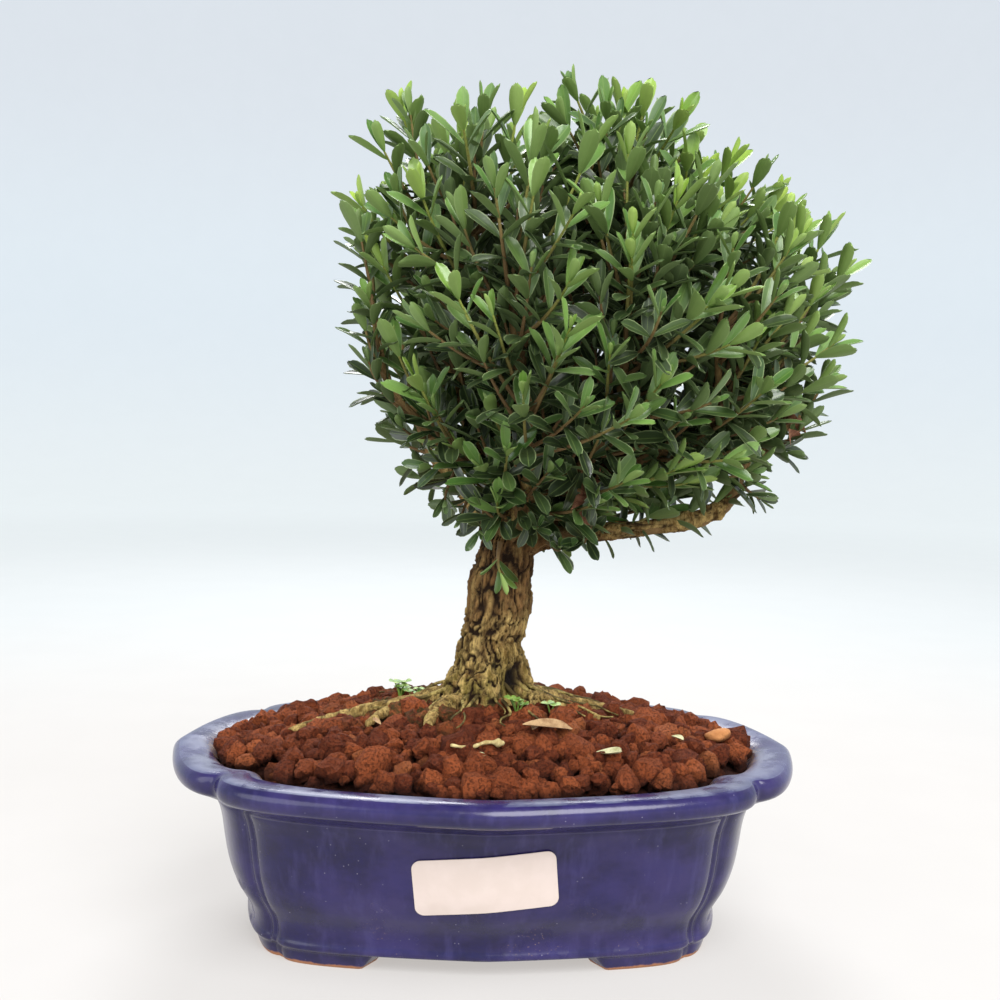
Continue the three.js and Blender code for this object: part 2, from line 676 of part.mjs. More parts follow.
// Blank paper label on the front wall, bent over the wall's middle ridge
const labelLength = 49;
const labelHeight = 20.5;
const labelCorner = 3;
const labelThickness = 0.5;
const labelRows = [-1, -0.62, 0.1, 1];
const labelColumns = 4;
const labelSlack = 0.04;
const labelCentreX = -0.8;
const labelCentreZ = 37;
const labelTurn = THREE.MathUtils.degToRad(5.5);

function frontWallY(x, z) {
  const plan = planAt(outerInset(z));
  return -(plan.width - (plan.width - plan.cornerY) * lobeFall(Math.abs(x) / plan.cornerX));
}

// Point of the label's sheet at a along it and b up it, a distance off the wall
function labelPoint(a, b, off) {
  const x = labelCentreX + a * Math.cos(labelTurn) - b * Math.sin(labelTurn);
  const z = labelCentreZ + a * Math.sin(labelTurn) + b * Math.cos(labelTurn);
  return new THREE.Vector3(x, frontWallY(x, z) - off, z);
}

function labelSolid() {
  const half = labelLength / 2;
  const straight = half - labelCorner;
  const ends = [half, half - labelCorner / 3, straight];
  const columns = ends.map((a) => -a);
  for (let k = -labelColumns; k <= labelColumns; k += 1) columns.push((k * straight) / (labelColumns + 1));
  columns.push(...ends.reverse());
  const rings = columns.map((a) => {
    const over = Math.max(0, Math.abs(a) - straight);
    const tall = labelHeight / 2 - labelCorner + Math.sqrt(labelCorner ** 2 - over ** 2);
    const back = labelRows.map((row) => labelPoint(a, row * tall, seatGap));
    const front = labelRows.map((row) => labelPoint(a, row * tall, seatGap + labelThickness));
    return [...back, ...front.reverse()];
  });
  return loftSolid(rings).asOriginal().simplify(labelSlack);
}

// Small weeds: a short stem with round leaflets spread from its top
const weedPlaces = { weed_left: [-33, 9], weed_front: [11, -19] };
const weedRadius = 0.8;
const weedHeight = 5.5;
const weedDepth = 6;
const weedShoot = { radius: weedRadius, pairs: 2, gap: 2.2, size: 0.3, lean: 1, turn: 0.4 };

function weedStem([x, y]) {
  const ground = soilHeight(x, y);
  return [[x, y, ground - weedDepth, weedRadius], [x, y, ground + weedHeight, weedRadius]];
}

function weedSolid(place) {
  const [start, tip] = weedStem(place).map(([x, y, z]) => new THREE.Vector3(x, y, z));
  const shape = { start, middle: start.clone().lerp(tip, 0.5), tip, ...weedShoot };
  return shootSolid(shape, () => true).solid;
}

// Loose pieces on the soil: leaves as [x, y, turn, size] and a twig's points as [x, y, bend, radius].
// Each is made this far above the soil and then sinks until it lies on the highest granules under it.
const fallenBrown = [12, -39, 0.15, 1.1];
const fallenPale = [38, -44, -0.6, 0.6];
const fallenTwig = [[-13, -46, 0, 0.9], [-6, -50, 1.5, 1], [1, -46, 1, 0.8], [5, -43, 0, 0.6]];
const fallenStalkWidth = 1;
const fallStart = 20;
const fallStep = 0.15;

function settled(solid, soil) {
  let drop = 0;
  const falls = () => solid.translate(0, 0, -drop - fallStep).minGap(soil, 1) > seatGap;
  while (drop < 2 * fallStart && falls()) drop += fallStep;
  return solid.translate(0, 0, -drop);
}

function lyingLeaf([x, y, turn, size]) {
  const along = new THREE.Vector3(Math.cos(turn), Math.sin(turn), 0);
  const up = new THREE.Vector3(0, 0, 1);
  const across = new THREE.Vector3().crossVectors(up, along);
  const origin = new THREE.Vector3(x, y, soilHeight(x, y) + fallStart);
  const stalk = [[-0.5, -1], [0.5, -1], [-0.5, 0], [0.5, 0]].map(([side, high]) => origin.clone()
    .addScaledVector(across, side * fallenStalkWidth)
    .addScaledVector(up, high * leafThickness));
  return leafSolid(stalk, leafPoints(origin, along, up, size));
}

function lyingTwig(points) {
  const [[x, y]] = points;
  const level = soilHeight(x, y) + fallStart;
  return loftSolid(limbRings(points.map(([px, py, bend, radius]) => [px, py, level + bend, radius]), 5, 4));
}

// Scene
const finishes = {
  glaze: { color: 0x242a63, roughness: 0.16, metalness: 0 },
  net: { color: 0x1b1c1e, roughness: 0.6, metalness: 0 },
  soil: { color: 0x7a3f2a, roughness: 0.95, metalness: 0 },
  bark: { color: 0x8d7a5a, roughness: 0.85, metalness: 0 },
  leaf: { color: 0x2f6b2c, roughness: 0.4, metalness: 0 },
  weed: { color: 0x6fb43a, roughness: 0.5, metalness: 0 },
  dryLeaf: { color: 0x9a7a58, roughness: 0.8, metalness: 0 },
  paleLeaf: { color: 0x8fa36a, roughness: 0.7, metalness: 0 },
  paper: { color: 0xf4f0ec, roughness: 0.5, metalness: 0 },
};

const plantAndPot = new THREE.Group();

function addPiece(name, solid, finish) {
  const mesh = new THREE.Mesh(geometryOf(solid), new THREE.MeshStandardMaterial(finishes[finish]));
  mesh.name = name;
  plantAndPot.add(mesh);
}

const wood = woodSolid();
const sprays = spraySolids({ solid: wood, box: wood.boundingBox() });
const weedHoles = Object.values(weedPlaces).map((place) => limbRings(weedStem(place), 6, 1, seatGap));
const soil = soilSolid([...soilSockets(), ...weedHoles.map(loftSolid)]);

addPiece('pot', potSolid(), 'glaze');
addPiece('drain_net_left', drainNetSolid(-1), 'net');
addPiece('drain_net_right', drainNetSolid(1), 'net');
addPiece('soil', soil, 'soil');
addPiece('trunk', wood, 'bark');
addPiece('label', labelSolid(), 'paper');
Object.entries(weedPlaces).forEach(([name, place]) => addPiece(name, weedSolid(place), 'weed'));
addPiece('fallen_leaf_brown', settled(lyingLeaf(fallenBrown), soil), 'dryLeaf');
addPiece('fallen_leaf_pale', settled(lyingLeaf(fallenPale), soil), 'paleLeaf');
addPiece('fallen_twig', settled(lyingTwig(fallenTwig), soil), 'dryLeaf');
sprays.forEach((spray, i) => addPiece(`spray_${String(i + 1).padStart(2, '0')}`, spray, 'leaf'));

// The origin moves under the middle of the whole box
const box = new THREE.Box3().setFromObject(plantAndPot);
const middle = box.getCenter(new THREE.Vector3());
plantAndPot.position.set(-middle.x, -middle.y, -box.min.z);

export default plantAndPot;
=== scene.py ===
import bpy
import numpy as np
from mathutils import Matrix, Vector


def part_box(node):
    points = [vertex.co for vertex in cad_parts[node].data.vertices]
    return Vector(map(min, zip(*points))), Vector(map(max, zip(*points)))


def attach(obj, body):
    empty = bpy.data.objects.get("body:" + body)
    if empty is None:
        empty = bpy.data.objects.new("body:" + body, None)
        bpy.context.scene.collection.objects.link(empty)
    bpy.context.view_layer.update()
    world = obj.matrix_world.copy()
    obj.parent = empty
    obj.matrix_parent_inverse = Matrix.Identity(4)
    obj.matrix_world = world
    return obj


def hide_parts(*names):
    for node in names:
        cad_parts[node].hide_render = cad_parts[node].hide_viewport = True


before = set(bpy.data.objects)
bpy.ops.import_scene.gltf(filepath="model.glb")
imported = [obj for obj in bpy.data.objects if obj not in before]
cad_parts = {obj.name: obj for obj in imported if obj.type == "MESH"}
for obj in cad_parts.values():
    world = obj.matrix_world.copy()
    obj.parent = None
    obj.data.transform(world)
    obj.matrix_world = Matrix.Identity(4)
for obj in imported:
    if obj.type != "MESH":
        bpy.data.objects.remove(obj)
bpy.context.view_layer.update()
print("frame loaded:", len(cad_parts), "nodes")

# Shapes are worked out in millimetres round the middle of the pot's foot, then put in the frame in metres
millimetre = 0.001
potLow, potHigh = (np.array(corner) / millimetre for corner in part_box("pot"))
potMiddle = (potLow + potHigh) / 2 * [1, 1, 0]


def inFrame(points):
    return (np.asarray(points, float) + potMiddle) * millimetre


def nodeBox(node):  # lowest and highest corner of a CAD node, in millimetres round the pot's middle
    return tuple(np.array(corner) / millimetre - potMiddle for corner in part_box(node))


def nodePoints(node):  # all vertices of a CAD node, in the same millimetres
    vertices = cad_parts[node].data.vertices
    flat = np.empty(len(vertices) * 3)
    vertices.foreach_get("co", flat)
    return flat.reshape(-1, 3) / millimetre - potMiddle


# Vector helpers
def unit(vectors):
    return vectors / np.maximum(np.linalg.norm(vectors, axis=-1, keepdims=True), 1e-9)


def dot(a, b):
    return np.sum(a * b, axis=-1, keepdims=True)


def squareTo(axis, vectors):  # what is left of the vectors square to the unit axis, as unit vectors
    return unit(vectors - axis * dot(vectors, axis))


def longAxis(points):  # direction in which the points spread most
    return np.linalg.svd(points - points.mean(0), full_matrices=False)[2][0]


def smoothStep(low, high, value):  # 3t² - 2t³ with t going from 0 at low to 1 at high
    t = np.clip((value - low) / (high - low), 0, 1)
    return t * t * (3 - 2 * t)


def hashed(cell, seed):
    # A fixed number from -1 to 1 for each lattice point: multiplied by primes, its bits folded over twice
    mask = 0xFFFFFFFF
    mixed = (cell[..., 0] * 73856093) ^ (cell[..., 1] * 19349663) ^ (cell[..., 2] * 83492791) ^ (seed * 7919)
    mixed = mixed & mask
    mixed = ((mixed ^ (mixed >> 13)) * 1274126177) & mask
    mixed = ((mixed ^ (mixed >> 15)) * 668265263) & mask
    return (mixed ^ (mixed >> 16)) / (mask / 2) - 1


def softNoise(points, size, seed=0):
    # Value noise from -1 to 1: hashed numbers on a lattice of that size, blended on each axis by 3t² - 2t³
    scaled = points / size
    cell = np.floor(scaled).astype(np.int64)
    t = scaled - cell
    t = t * t * (3 - 2 * t)
    total = 0
    for corner in np.ndindex(2, 2, 2):
        weight = np.prod(np.where(corner, t, 1 - t), axis=-1)
        total = total + weight * hashed(cell + corner, seed)
    return total


def layeredNoise(points, size, layers, seed=0):  # each layer is half as large and half as strong as the last
    total = sum(softNoise(points, size / 2 ** k, seed + k) / 2 ** k for k in range(layers))
    return total / (2 - 2 / 2 ** layers)


def throughPoints(points, shares):
    # Centripetal Catmull-Rom curve: cubics whose slopes weigh the chords by the roots of their lengths
    points = np.asarray(points, float)
    padded = np.vstack([2 * points[0] - points[1], points, 2 * points[-1] - points[-2]])
    along = np.clip(shares, 0, 1) * (len(points) - 1)
    first = np.minimum(along.astype(int), len(points) - 2)
    t = (along - first)[:, None]
    a, b, c, d = (padded[first + k] for k in range(4))
    ab, bc, cd = (np.sqrt(np.linalg.norm(q - p, axis=1, keepdims=True)) for p, q in ((a, b), (b, c), (c, d)))
    slopeB = ((b - a) / ab - (c - a) / (ab + bc) + (c - b) / bc) * bc
    slopeC = ((c - b) / bc - (d - b) / (bc + cd) + (d - c) / cd) * bc
    square = 3 * (c - b) - 2 * slopeB - slopeC
    cube = 2 * (b - c) + slopeB + slopeC
    return b + slopeB * t + square * t ** 2 + cube * t ** 3


# Mesh helpers
def gridQuads(rows, columns):
    # Quads between neighbouring rows of a grid whose last column joins the first
    row, column = np.meshgrid(np.arange(rows - 1), np.arange(columns), indexing="ij")
    after = (column + 1) % columns
    here, above = row * columns, (row + 1) * columns
    return np.stack([here + column, here + after, above + after, above + column], -1).reshape(-1, 4)


def capFans(rows, columns):
    # Triangles from a hub below the first ring and one above the last; the hubs follow the grid's points
    column = np.arange(columns)
    after = (column + 1) % columns
    last = (rows - 1) * columns
    low = np.stack([np.full(columns, rows * columns), after, column], -1)
    high = np.stack([np.full(columns, rows * columns + 1), last + column, last + after], -1)
    return np.vstack([low, high])


def repeated(faces, count, size):  # the same faces for many copies that each have that many points
    return (faces[None] + (np.arange(count) * size)[:, None, None]).reshape(-1, faces.shape[-1])


def addPiece(name, points, quads, triangles=None, crisp=None):
    # A mesh object at the origin, its points in the frame's metres; edges that bend by more than crisp
    # radians stay sharp
    triangles = np.empty((0, 3), int) if triangles is None else triangles
    corners = np.concatenate([quads.ravel(), triangles.ravel()]).astype(np.int32)
    sizes = np.concatenate([np.full(len(quads), 4), np.full(len(triangles), 3)])
    starts = np.concatenate([[0], np.cumsum(sizes)[:-1]]).astype(np.int32)
    mesh = bpy.data.meshes.new(name)
    mesh.vertices.add(len(points))
    mesh.vertices.foreach_set("co", inFrame(points).astype(np.float32).ravel())
    mesh.loops.add(len(corners))
    mesh.loops.foreach_set("vertex_index", corners)
    mesh.polygons.add(len(starts))
    mesh.polygons.foreach_set("loop_start", starts)
    mesh.update(calc_edges=True)
    mesh.shade_smooth()
    if crisp:
        mesh.set_sharp_from_angle(angle=crisp)
    piece = bpy.data.objects.new(name, mesh)
    bpy.context.collection.objects.link(piece)
    return piece


def addGrid(name, points, rows, columns, crisp=None):  # a closed grid of points followed by its two hubs
    return addPiece(name, points, gridQuads(rows, columns), capFans(rows, columns), crisp)


def meshArrays(piece):  # points in millimetres, and normals
    count = len(piece.data.vertices)
    places, normals = np.empty(count * 3, np.float32), np.empty(count * 3, np.float32)
    piece.data.vertices.foreach_get("co", places)
    piece.data.vertex_normals.foreach_get("vector", normals)
    return places.reshape(-1, 3) / millimetre - potMiddle, normals.reshape(-1, 3)


def movePoints(piece, points):
    piece.data.vertices.foreach_set("co", inFrame(points).astype(np.float32).ravel())
    piece.data.update()


def applyModifiers(piece):
    applied = bpy.data.meshes.new_from_object(piece.evaluated_get(bpy.context.evaluated_depsgraph_get()))
    piece.modifiers.clear()
    piece.data = applied


def setValues(piece, domain="POINT", **values):  # numbers that the materials read, one for each point or face
    for name, numbers in values.items():
        attribute = piece.data.attributes.new(name, "FLOAT", domain)
        attribute.data.foreach_set("value", np.asarray(numbers, np.float32).ravel())


def dress(piece, materials, nodes=()):
    for material in materials:
        piece.data.materials.append(material)
    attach(piece, "root")
    if nodes:
        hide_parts(*nodes)
    print("made", piece.name, len(piece.data.polygons), "faces")


def carriedNormals(tangents):
    # One normal carried along each path: every step takes out the part that lies along the next tangent
    normal = np.broadcast_to([0.31, -0.95, 0.12], tangents[:, 0].shape)
    normals = []
    for tangent in np.moveaxis(tangents, 1, 0):
        normal = squareTo(tangent, normal)
        normals.append(normal)
    return np.stack(normals, 1)


def tubes(centres, radii, sides):
    # Closed tubes: centre + radius · (cos a · normal + sin a · side) at equal angles a, with hubs at the ends
    paths, steps = radii.shape
    tangents = unit(np.gradient(centres, axis=1))
    normals = carriedNormals(tangents)
    sideways = np.cross(tangents, normals)
    angle = np.arange(sides) * 2 * np.pi / sides
    spoke = normals[:, :, None] * np.cos(angle)[:, None] + sideways[:, :, None] * np.sin(angle)[:, None]
    rings = centres[:, :, None] + radii[:, :, None, None] * spoke
    ends = centres[:, [0, -1]] + tangents[:, [0, -1]] * radii[:, [0, -1], None] * [[[-0.5], [0.5]]]
    points = np.concatenate([rings.reshape(paths, steps * sides, 3), ends], 1)
    size = steps * sides + 2
    quads = repeated(gridQuads(steps, sides), paths, size)
    return points.reshape(-1, 3), quads, repeated(capFans(steps, sides), paths, size)


# Material helpers
def colour(hexText):  # a screen colour such as "8a5a3c" as linear light
    screen = np.array([int(hexText[k:k + 2], 16) for k in (0, 2, 4)]) / 255
    linear = np.where(screen < 0.04045, screen / 12.92, ((screen + 0.055) / 1.055) ** 2.4)
    return (*linear.tolist(), 1)


class Shade:  # a node tree with short calls; every value may be a number, a colour or another node's output

    def __init__(self, name, **shader):
        self.material = bpy.data.materials.new(name)
        self.material.use_nodes = True
        self.tree = self.material.node_tree
        self.surface = self.tree.nodes["Principled BSDF"]
        self.place = self.node("ShaderNodeTexCoord").outputs["Object"]
        for socket, value in shader.items():
            self.put(self.surface.inputs[socket.replace("_", " ")], value)

    def put(self, socket, value):
        if isinstance(value, bpy.types.NodeSocket):
            self.tree.links.new(value, socket)
        else:
            socket.default_value = value

    def node(self, kind, inputs=(), **settings):
        made = self.tree.nodes.new(kind)
        for key, value in settings.items():
            setattr(made, key, value)
        for key, value in dict(inputs).items():
            self.put(made.inputs[key], value)
        return made

    def attribute(self, name):
        return self.node("ShaderNodeAttribute", attribute_name=name).outputs["Fac"]

    def axis(self, name):
        return self.node("ShaderNodeSeparateXYZ", {0: self.place}).outputs[name]

    def stretched(self, scale):
        return self.node("ShaderNodeMapping", {"Vector": self.place, "Scale": scale}).outputs["Vector"]

    def noise(self, size, detail=3, roughness=0.55, place=None):  # size of the blotches in millimetres
        inputs = {"Scale": 1 / (size * millimetre), "Detail": detail, "Roughness": roughness}
        return self.node("ShaderNodeTexNoise", {"Vector": place or self.place, **inputs}).outputs["Fac"]

    def cells(self, size):  # distance from the middle of the nearest cell, for cells that far apart
        inputs = {"Vector": self.place, "Scale": 1 / (size * millimetre)}
        return self.node("ShaderNodeTexVoronoi", inputs).outputs["Distance"]

    def math(self, operation, first, second, clamp=False):
        made = self.node("ShaderNodeMath", {0: first, 1: second}, operation=operation, use_clamp=clamp)
        return made.outputs[0]

    def times(self, first, second):
        return self.math("MULTIPLY", first, second)

    def plus(self, first, second):
        return self.math("ADD", first, second)

    def between(self, value, low, high, toLow=0.0, toHigh=1.0):
        inputs = {"Value": value, "From Min": low, "From Max": high, "To Min": toLow, "To Max": toHigh}
        made = self.node("ShaderNodeMapRange", inputs, interpolation_type="SMOOTHSTEP")
        return made.outputs["Result"]

    def mix(self, factor, first, second):
        made = self.node("ShaderNodeMix", data_type="RGBA")
        for socket, value in zip((0, 6, 7), (factor, first, second)):
            self.put(made.inputs[socket], value)
        return made.outputs[2]

    def blend(self, value, low, high, dark, light):  # from one colour to another along a value
        return self.mix(self.between(value, low, high), colour(dark), colour(light))

    def tint(self, body, value, low, high, share, hexText):  # a colour over the body, up to that share
        return self.mix(self.between(value, low, high, 0, share), body, colour(hexText))

    def bump(self, height, distance, strength=1.0, under=None):
        inputs = {"Height": height, "Distance": distance * millimetre, "Strength": strength}
        if under is not None:
            inputs["Normal"] = under
        return self.node("ShaderNodeBump", inputs).outputs["Normal"]

    def finish(self, **sockets):
        for socket, value in sockets.items():
            self.put(self.surface.inputs[socket.replace("_", " ")], value)
        return self.material


# Camera at the photograph's angle
camera = {
    "place": (-15.77, -479.17, 191.4),
    "forward": (0.0409, 0.9975, -0.0583),
    "up": (-0.01958, 0.0591, 0.99806),
    "lens": 45.19,
}


def addCamera():
    made = bpy.data.objects.new("camera", bpy.data.cameras.new("camera"))
    made.data.lens = camera["lens"]
    made.data.sensor_width = 36
    made.data.clip_start = 0.01
    forward = Vector(camera["forward"]).normalized()
    right = forward.cross(Vector(camera["up"])).normalized()
    turned = Matrix((right, right.cross(forward), -forward)).transposed()
    made.matrix_world = Matrix.Translation(inFrame(camera["place"])) @ turned.to_4x4()
    bpy.context.collection.objects.link(made)
    bpy.context.scene.camera = made


# Pot
pot = {
    "halfLength": 119, "halfWidth": 86, "cornerX": 93.5, "cornerY": 50,
    "widthRatio": 1.06, "cornerRatioX": 0.67, "cornerRatioY": 0.43,
    "cuspSlope": 0.36, "cuspRound": 0.045, "shoulderPower": 2.8,
    "sideSteps": 40, "longSteps": 64, "beadSteps": 8, "beadReach": 2.4,
    "underHeight": 6.2, "floorHeight": 12, "footThickness": 11,
    "footInset": 29, "footGapX": 44, "footGapY": 17, "footSlant": 5, "gapHeight": 5.8,
    "drainRadius": 7, "drainOffset": 45,
    # lobes half-way up, for the even spacing of their points: reach, depth and half width
    "sideLobe": (100, 19.5, 42), "longLobe": (66, 24, 81),
    "outsideRows": 96,
    # height and inset from the lip, from the feet up
    "outside": [
        (0, 33), (0.5, 32.4), (3, 31.5), (5.2, 30.9), (5.9, 29.8), (6.9, 28.9), (8, 28.9), (9.4, 29.4),
        (11.5, 29.5), (14, 29), (16, 28.2), (18, 27), (20, 25.7), (23, 23.9), (30, 21.2), (38, 19.6),
        (46, 18.4), (51, 17.1), (54.6, 15.6), (55.4, 15.5), (57, 13.6), (60.2, 6.9), (61.8, 2.6), (63, 1),
        (64.6, 0.2), (66.4, 0), (68, 0.6), (69.3, 2), (69.9, 3.6),
    ],
    "insideRows": 34,
    # height, inset and wall thickness, from the lip down to the floor
    "inside": [
        (70, 4.8, 1), (69.7, 4.8, 4), (69, 4.8, 6.8), (67.6, 4.8, 9.2), (66, 5.4, 10), (58, 14, 7.4),
        (34, 20.4, 6), (16, 28, 7.4), (12.4, 29, 9), (12, 29, 11),
    ],
    # how much the corner's notch bulges, by height
    "beadHeights": [6, 9, 50, 58, 62], "beadShares": [0.6, 1, 1, 0.9, 0], "footBead": 0.4,
    # slight unevenness of the wall: blotch sizes across and up, share of the reach
    "wave": (34, 34, 60), "waveShare": 0.0014,
}


def lobeFall(t):
    # Share of the lobe's depth lost at t: a soft cusp in t, and the superellipse shoulder 1 - (1 - t^p)^(1/p)
    blunt, power = pot["cuspRound"], pot["shoulderPower"]
    soft = (np.hypot(t, blunt) - blunt) / (np.hypot(1, blunt) - blunt)
    shoulder = 1 - np.maximum(1 - t ** power, 0) ** (1 / power)
    return pot["cuspSlope"] * soft + (1 - pot["cuspSlope"]) * shoulder


def lobeShares(steps, length, depth, across):
    # Places along a lobe at equal arc lengths, from t = sin(a)^(2/p), as t and the share of depth lost there
    turn = np.linspace(0, np.pi / 2, 600)
    t = np.sin(turn) ** (2 / pot["shoulderPower"])
    out, side = length - depth * lobeFall(t), across * t
    run = np.concatenate([[0], np.cumsum(np.hypot(np.diff(out), np.diff(side)))])
    wanted = np.linspace(0, run[-1] - pot["beadReach"], steps)
    t = np.sin(np.interp(wanted, run, turn)) ** (2 / pot["shoulderPower"])
    return t, lobeFall(t)


sideShares = lobeShares(pot["sideSteps"], *pot["sideLobe"])
longShares = lobeShares(pot["longSteps"], *pot["longLobe"])


def potRings(inset, wall, bead):
    # Plan outlines: in each quarter a side lobe, a bead in the corner's notch and a long lobe. With A and B
    # from the corner to the lobes' ends, bead 1 is A cos f + B sin f, bead 0 is A + B - A sin f - B cos f
    inset, wall, bead = (np.asarray(value, float)[:, None] for value in (inset, wall, bead))
    length = pot["halfLength"] - inset - wall
    width = pot["halfWidth"] - inset * pot["widthRatio"] - wall
    corner = np.stack([pot["cornerX"] - inset * pot["cornerRatioX"] - wall,
                       pot["cornerY"] - inset * pot["cornerRatioY"] - wall], -1)
    cornerX, cornerY = corner[..., 0], corner[..., 1]
    t, fall = sideShares
    side = np.stack([length - (length - cornerX) * fall, cornerY * t], -1)
    t, fall = longShares
    long = np.stack([cornerX * t, width - (width - cornerY) * fall], -1)[:, ::-1]
    angle = np.linspace(0, np.pi / 2, pot["beadSteps"] + 2)[1:-1, None]
    toSide, toLong = side[:, -1:] - corner, long[:, :1] - corner
    bulge = toSide * np.cos(angle) + toLong * np.sin(angle)
    hollow = toSide + toLong - toSide * np.sin(angle) - toLong * np.cos(angle)
    notch = corner + hollow + (bulge - hollow) * bead[..., None]
    quarter = np.concatenate([side, notch, long], 1)
    half = np.concatenate([quarter, quarter[:, -2::-1] * [-1, 1]], 1)
    return np.concatenate([half, half[:, -2:0:-1] * [1, -1]], 1)


def convexity(grid):
    # How far each point of a closed grid stands out of the middle of its four neighbours, by their distance
    around = (np.roll(grid, 1, 1) + np.roll(grid, -1, 1)) / 2
    along = (np.roll(grid, 1, 0) + np.roll(grid, -1, 0)) / 2
    along[0], along[-1] = grid[0], grid[-1]
    tangent = np.roll(grid, -1, 1) - np.roll(grid, 1, 1)
    rise = np.gradient(grid, axis=0)
    normal = unit(np.cross(tangent, rise))
    turnAround = dot(grid - around, normal) / (dot(tangent, tangent) / 4 + 0.3)
    turnAlong = dot(grid - along, normal) / (dot(rise, rise) + 0.3)
    return (turnAround + turnAlong)[..., 0]


def glazeMaterial():
    glaze = Shade("cobaltGlaze", Specular_IOR_Level=0.5)
    outwards = glaze.attribute("convex")
    height = glaze.axis("Z")
    cloudy = glaze.noise(30, 4, 0.6, glaze.stretched((1, 1, 1.6)))
    streaks = glaze.noise(5, 4, 0.6, glaze.stretched((1, 1, 0.16)))
    body = glaze.blend(cloudy, 0.35, 0.65, "150f38", "2f2658")
    body = glaze.tint(body, glaze.noise(9, 5, 0.7), 0.3, 0.7, 0.4, "1a1656")
    body = glaze.tint(body, streaks, 0.48, 0.75, 0.4, "423c70")
    # thin and pale on the edges, pooled in the hollows
    thin = glaze.times(glaze.between(outwards, 0.04, 0.5, 0, 0.8), glaze.between(glaze.noise(3, 5), 0.3, 0.7))
    body = glaze.mix(thin, body, colour("8a84a0"))
    body = glaze.tint(body, outwards, -0.05, -0.4, 0.3, "343056")
    # worn haze on the lip and a lime line where the soil begins
    worn = glaze.between(glaze.noise(16, 4, 0.6), 0.38, 0.64, 0.02, 0.6)
    haze = glaze.times(glaze.attribute("rim"), worn)
    body = glaze.mix(haze, body, colour("6f758d"))
    lime = glaze.times(glaze.attribute("tide"), glaze.between(glaze.noise(1.6, 5, 0.8), 0.42, 0.6))
    body = glaze.mix(lime, body, colour("8f7050"))
    # specks low on the wall, and pale grains here and there
    dots = glaze.times(glaze.between(glaze.cells(0.7), 0.3, 0.14), glaze.between(glaze.noise(1.3), 0.5, 0.6))
    patch = glaze.times(glaze.between(glaze.noise(15, 3), 0.56, 0.66), glaze.between(height, 0.034, 0.022))
    body = glaze.mix(glaze.times(dots, patch), body, colour("94796c"))
    dust = glaze.times(glaze.between(glaze.cells(2.6), 0.1, 0.05), glaze.between(glaze.noise(7), 0.5, 0.6))
    body = glaze.mix(glaze.times(dust, 0.5), body, colour("a5a0b4"))
    # bare clay below an uneven edge of the glaze at the feet
    edge = glaze.plus(height, glaze.between(glaze.noise(4), 0, 1, -0.0006, 0.0006))
    bare = glaze.between(edge, 0.0016, 0.0008)
    clay = glaze.mix(glaze.noise(1.5, 5), colour("8e5a3e"), colour("b98058"))
    rough = glaze.between(glaze.math("MAXIMUM", haze, patch), 0, 0.6, 0.2, 0.4)
    rough = glaze.plus(rough, glaze.times(bare, 0.6))
    orangePeel = glaze.bump(glaze.noise(5, 3), 0.22, 0.4)
    grain = glaze.bump(glaze.noise(0.5, 4), 0.05, 0.3, orangePeel)
    return glaze.finish(Base_Color=glaze.mix(bare, body, clay), Roughness=rough, Normal=grain)


def makePot(material):
    outside = throughPoints(pot["outside"], np.linspace(0, 1, pot["outsideRows"]))
    inside = throughPoints(pot["inside"], np.linspace(0, 1, pot["insideRows"]))
    # rows of height, inset, wall, bead share and scale, from the underside round to the floor's middle
    foot, thick, bead = pot["footInset"], pot["footThickness"], pot["footBead"]
    under = [(pot["underHeight"], foot, thick, bead, scale) for scale in (0.1, 0.3, 0.5, 0.7, 0.88, 1)]
    footIn = [(height, foot, thick, bead, 1) for height in (5.6, 3, 0.5)]
    footIn.append((0, foot + 1, thick - 1.4, bead, 1))
    beadShare = np.interp(outside[:, 0], pot["beadHeights"], pot["beadShares"])
    outer = [(height, inset, 0, share, 1) for (height, inset), share in zip(outside, beadShare)]
    inner = [(height, inset, wall, 0, 1) for height, inset, wall in inside]
    floor = [(pot["floorHeight"], foot, thick, 0, scale) for scale in (0.85, 0.65, 0.45, 0.25, 0.1)]
    height, inset, wall, share, scale = np.array(under + footIn + outer + inner + floor).T
    plan = potRings(inset, wall, share) * scale[:, None, None]

    # below the underside the rows rise from the ground into the gaps between the feet
    ring = np.abs(potRings([foot + 2], [0], [0.5])[0])
    isLong = ring[:, 0] * 0.6 < ring[:, 1]
    gap = np.where(isLong, pot["footGapX"] - ring[:, 0], pot["footGapY"] - ring[:, 1]) / pot["footSlant"]
    bottom = pot["gapHeight"] * np.clip(gap, 0, 1)
    lifted = bottom + (pot["underHeight"] - bottom) * height[:, None] / pot["underHeight"]
    level = np.where(height[:, None] < pot["underHeight"], lifted, height[:, None])
    wave = softNoise(np.dstack([plan, level]) / pot["wave"], 1, 5) * smoothStep(8, 20, level)
    rings = np.dstack([plan * (1 + pot["waveShare"] * wave)[..., None], level])
    rows, columns = level.shape
    hubs = [[0, 0, pot["underHeight"]], [0, 0, pot["floorHeight"]]]
    piece = addGrid("glazed_pot", np.vstack([rings.reshape(-1, 3), hubs]), rows, columns)
    row = np.arange(rows)[:, None] - len(under + footIn + outer)
    rim = np.where(row >= -3, smoothStep(60, 67, level), 0)
    tide = np.where(row >= 4, smoothStep(69.6, 66.5, level), 0)
    setValues(piece, convex=np.append(convexity(rings), [0, 0]), rim=np.append(rim, [0, 0]),
              tide=np.append(tide, [0, 0]))
    cutDrainHoles(piece)
    dress(piece, [material], ["pot"])


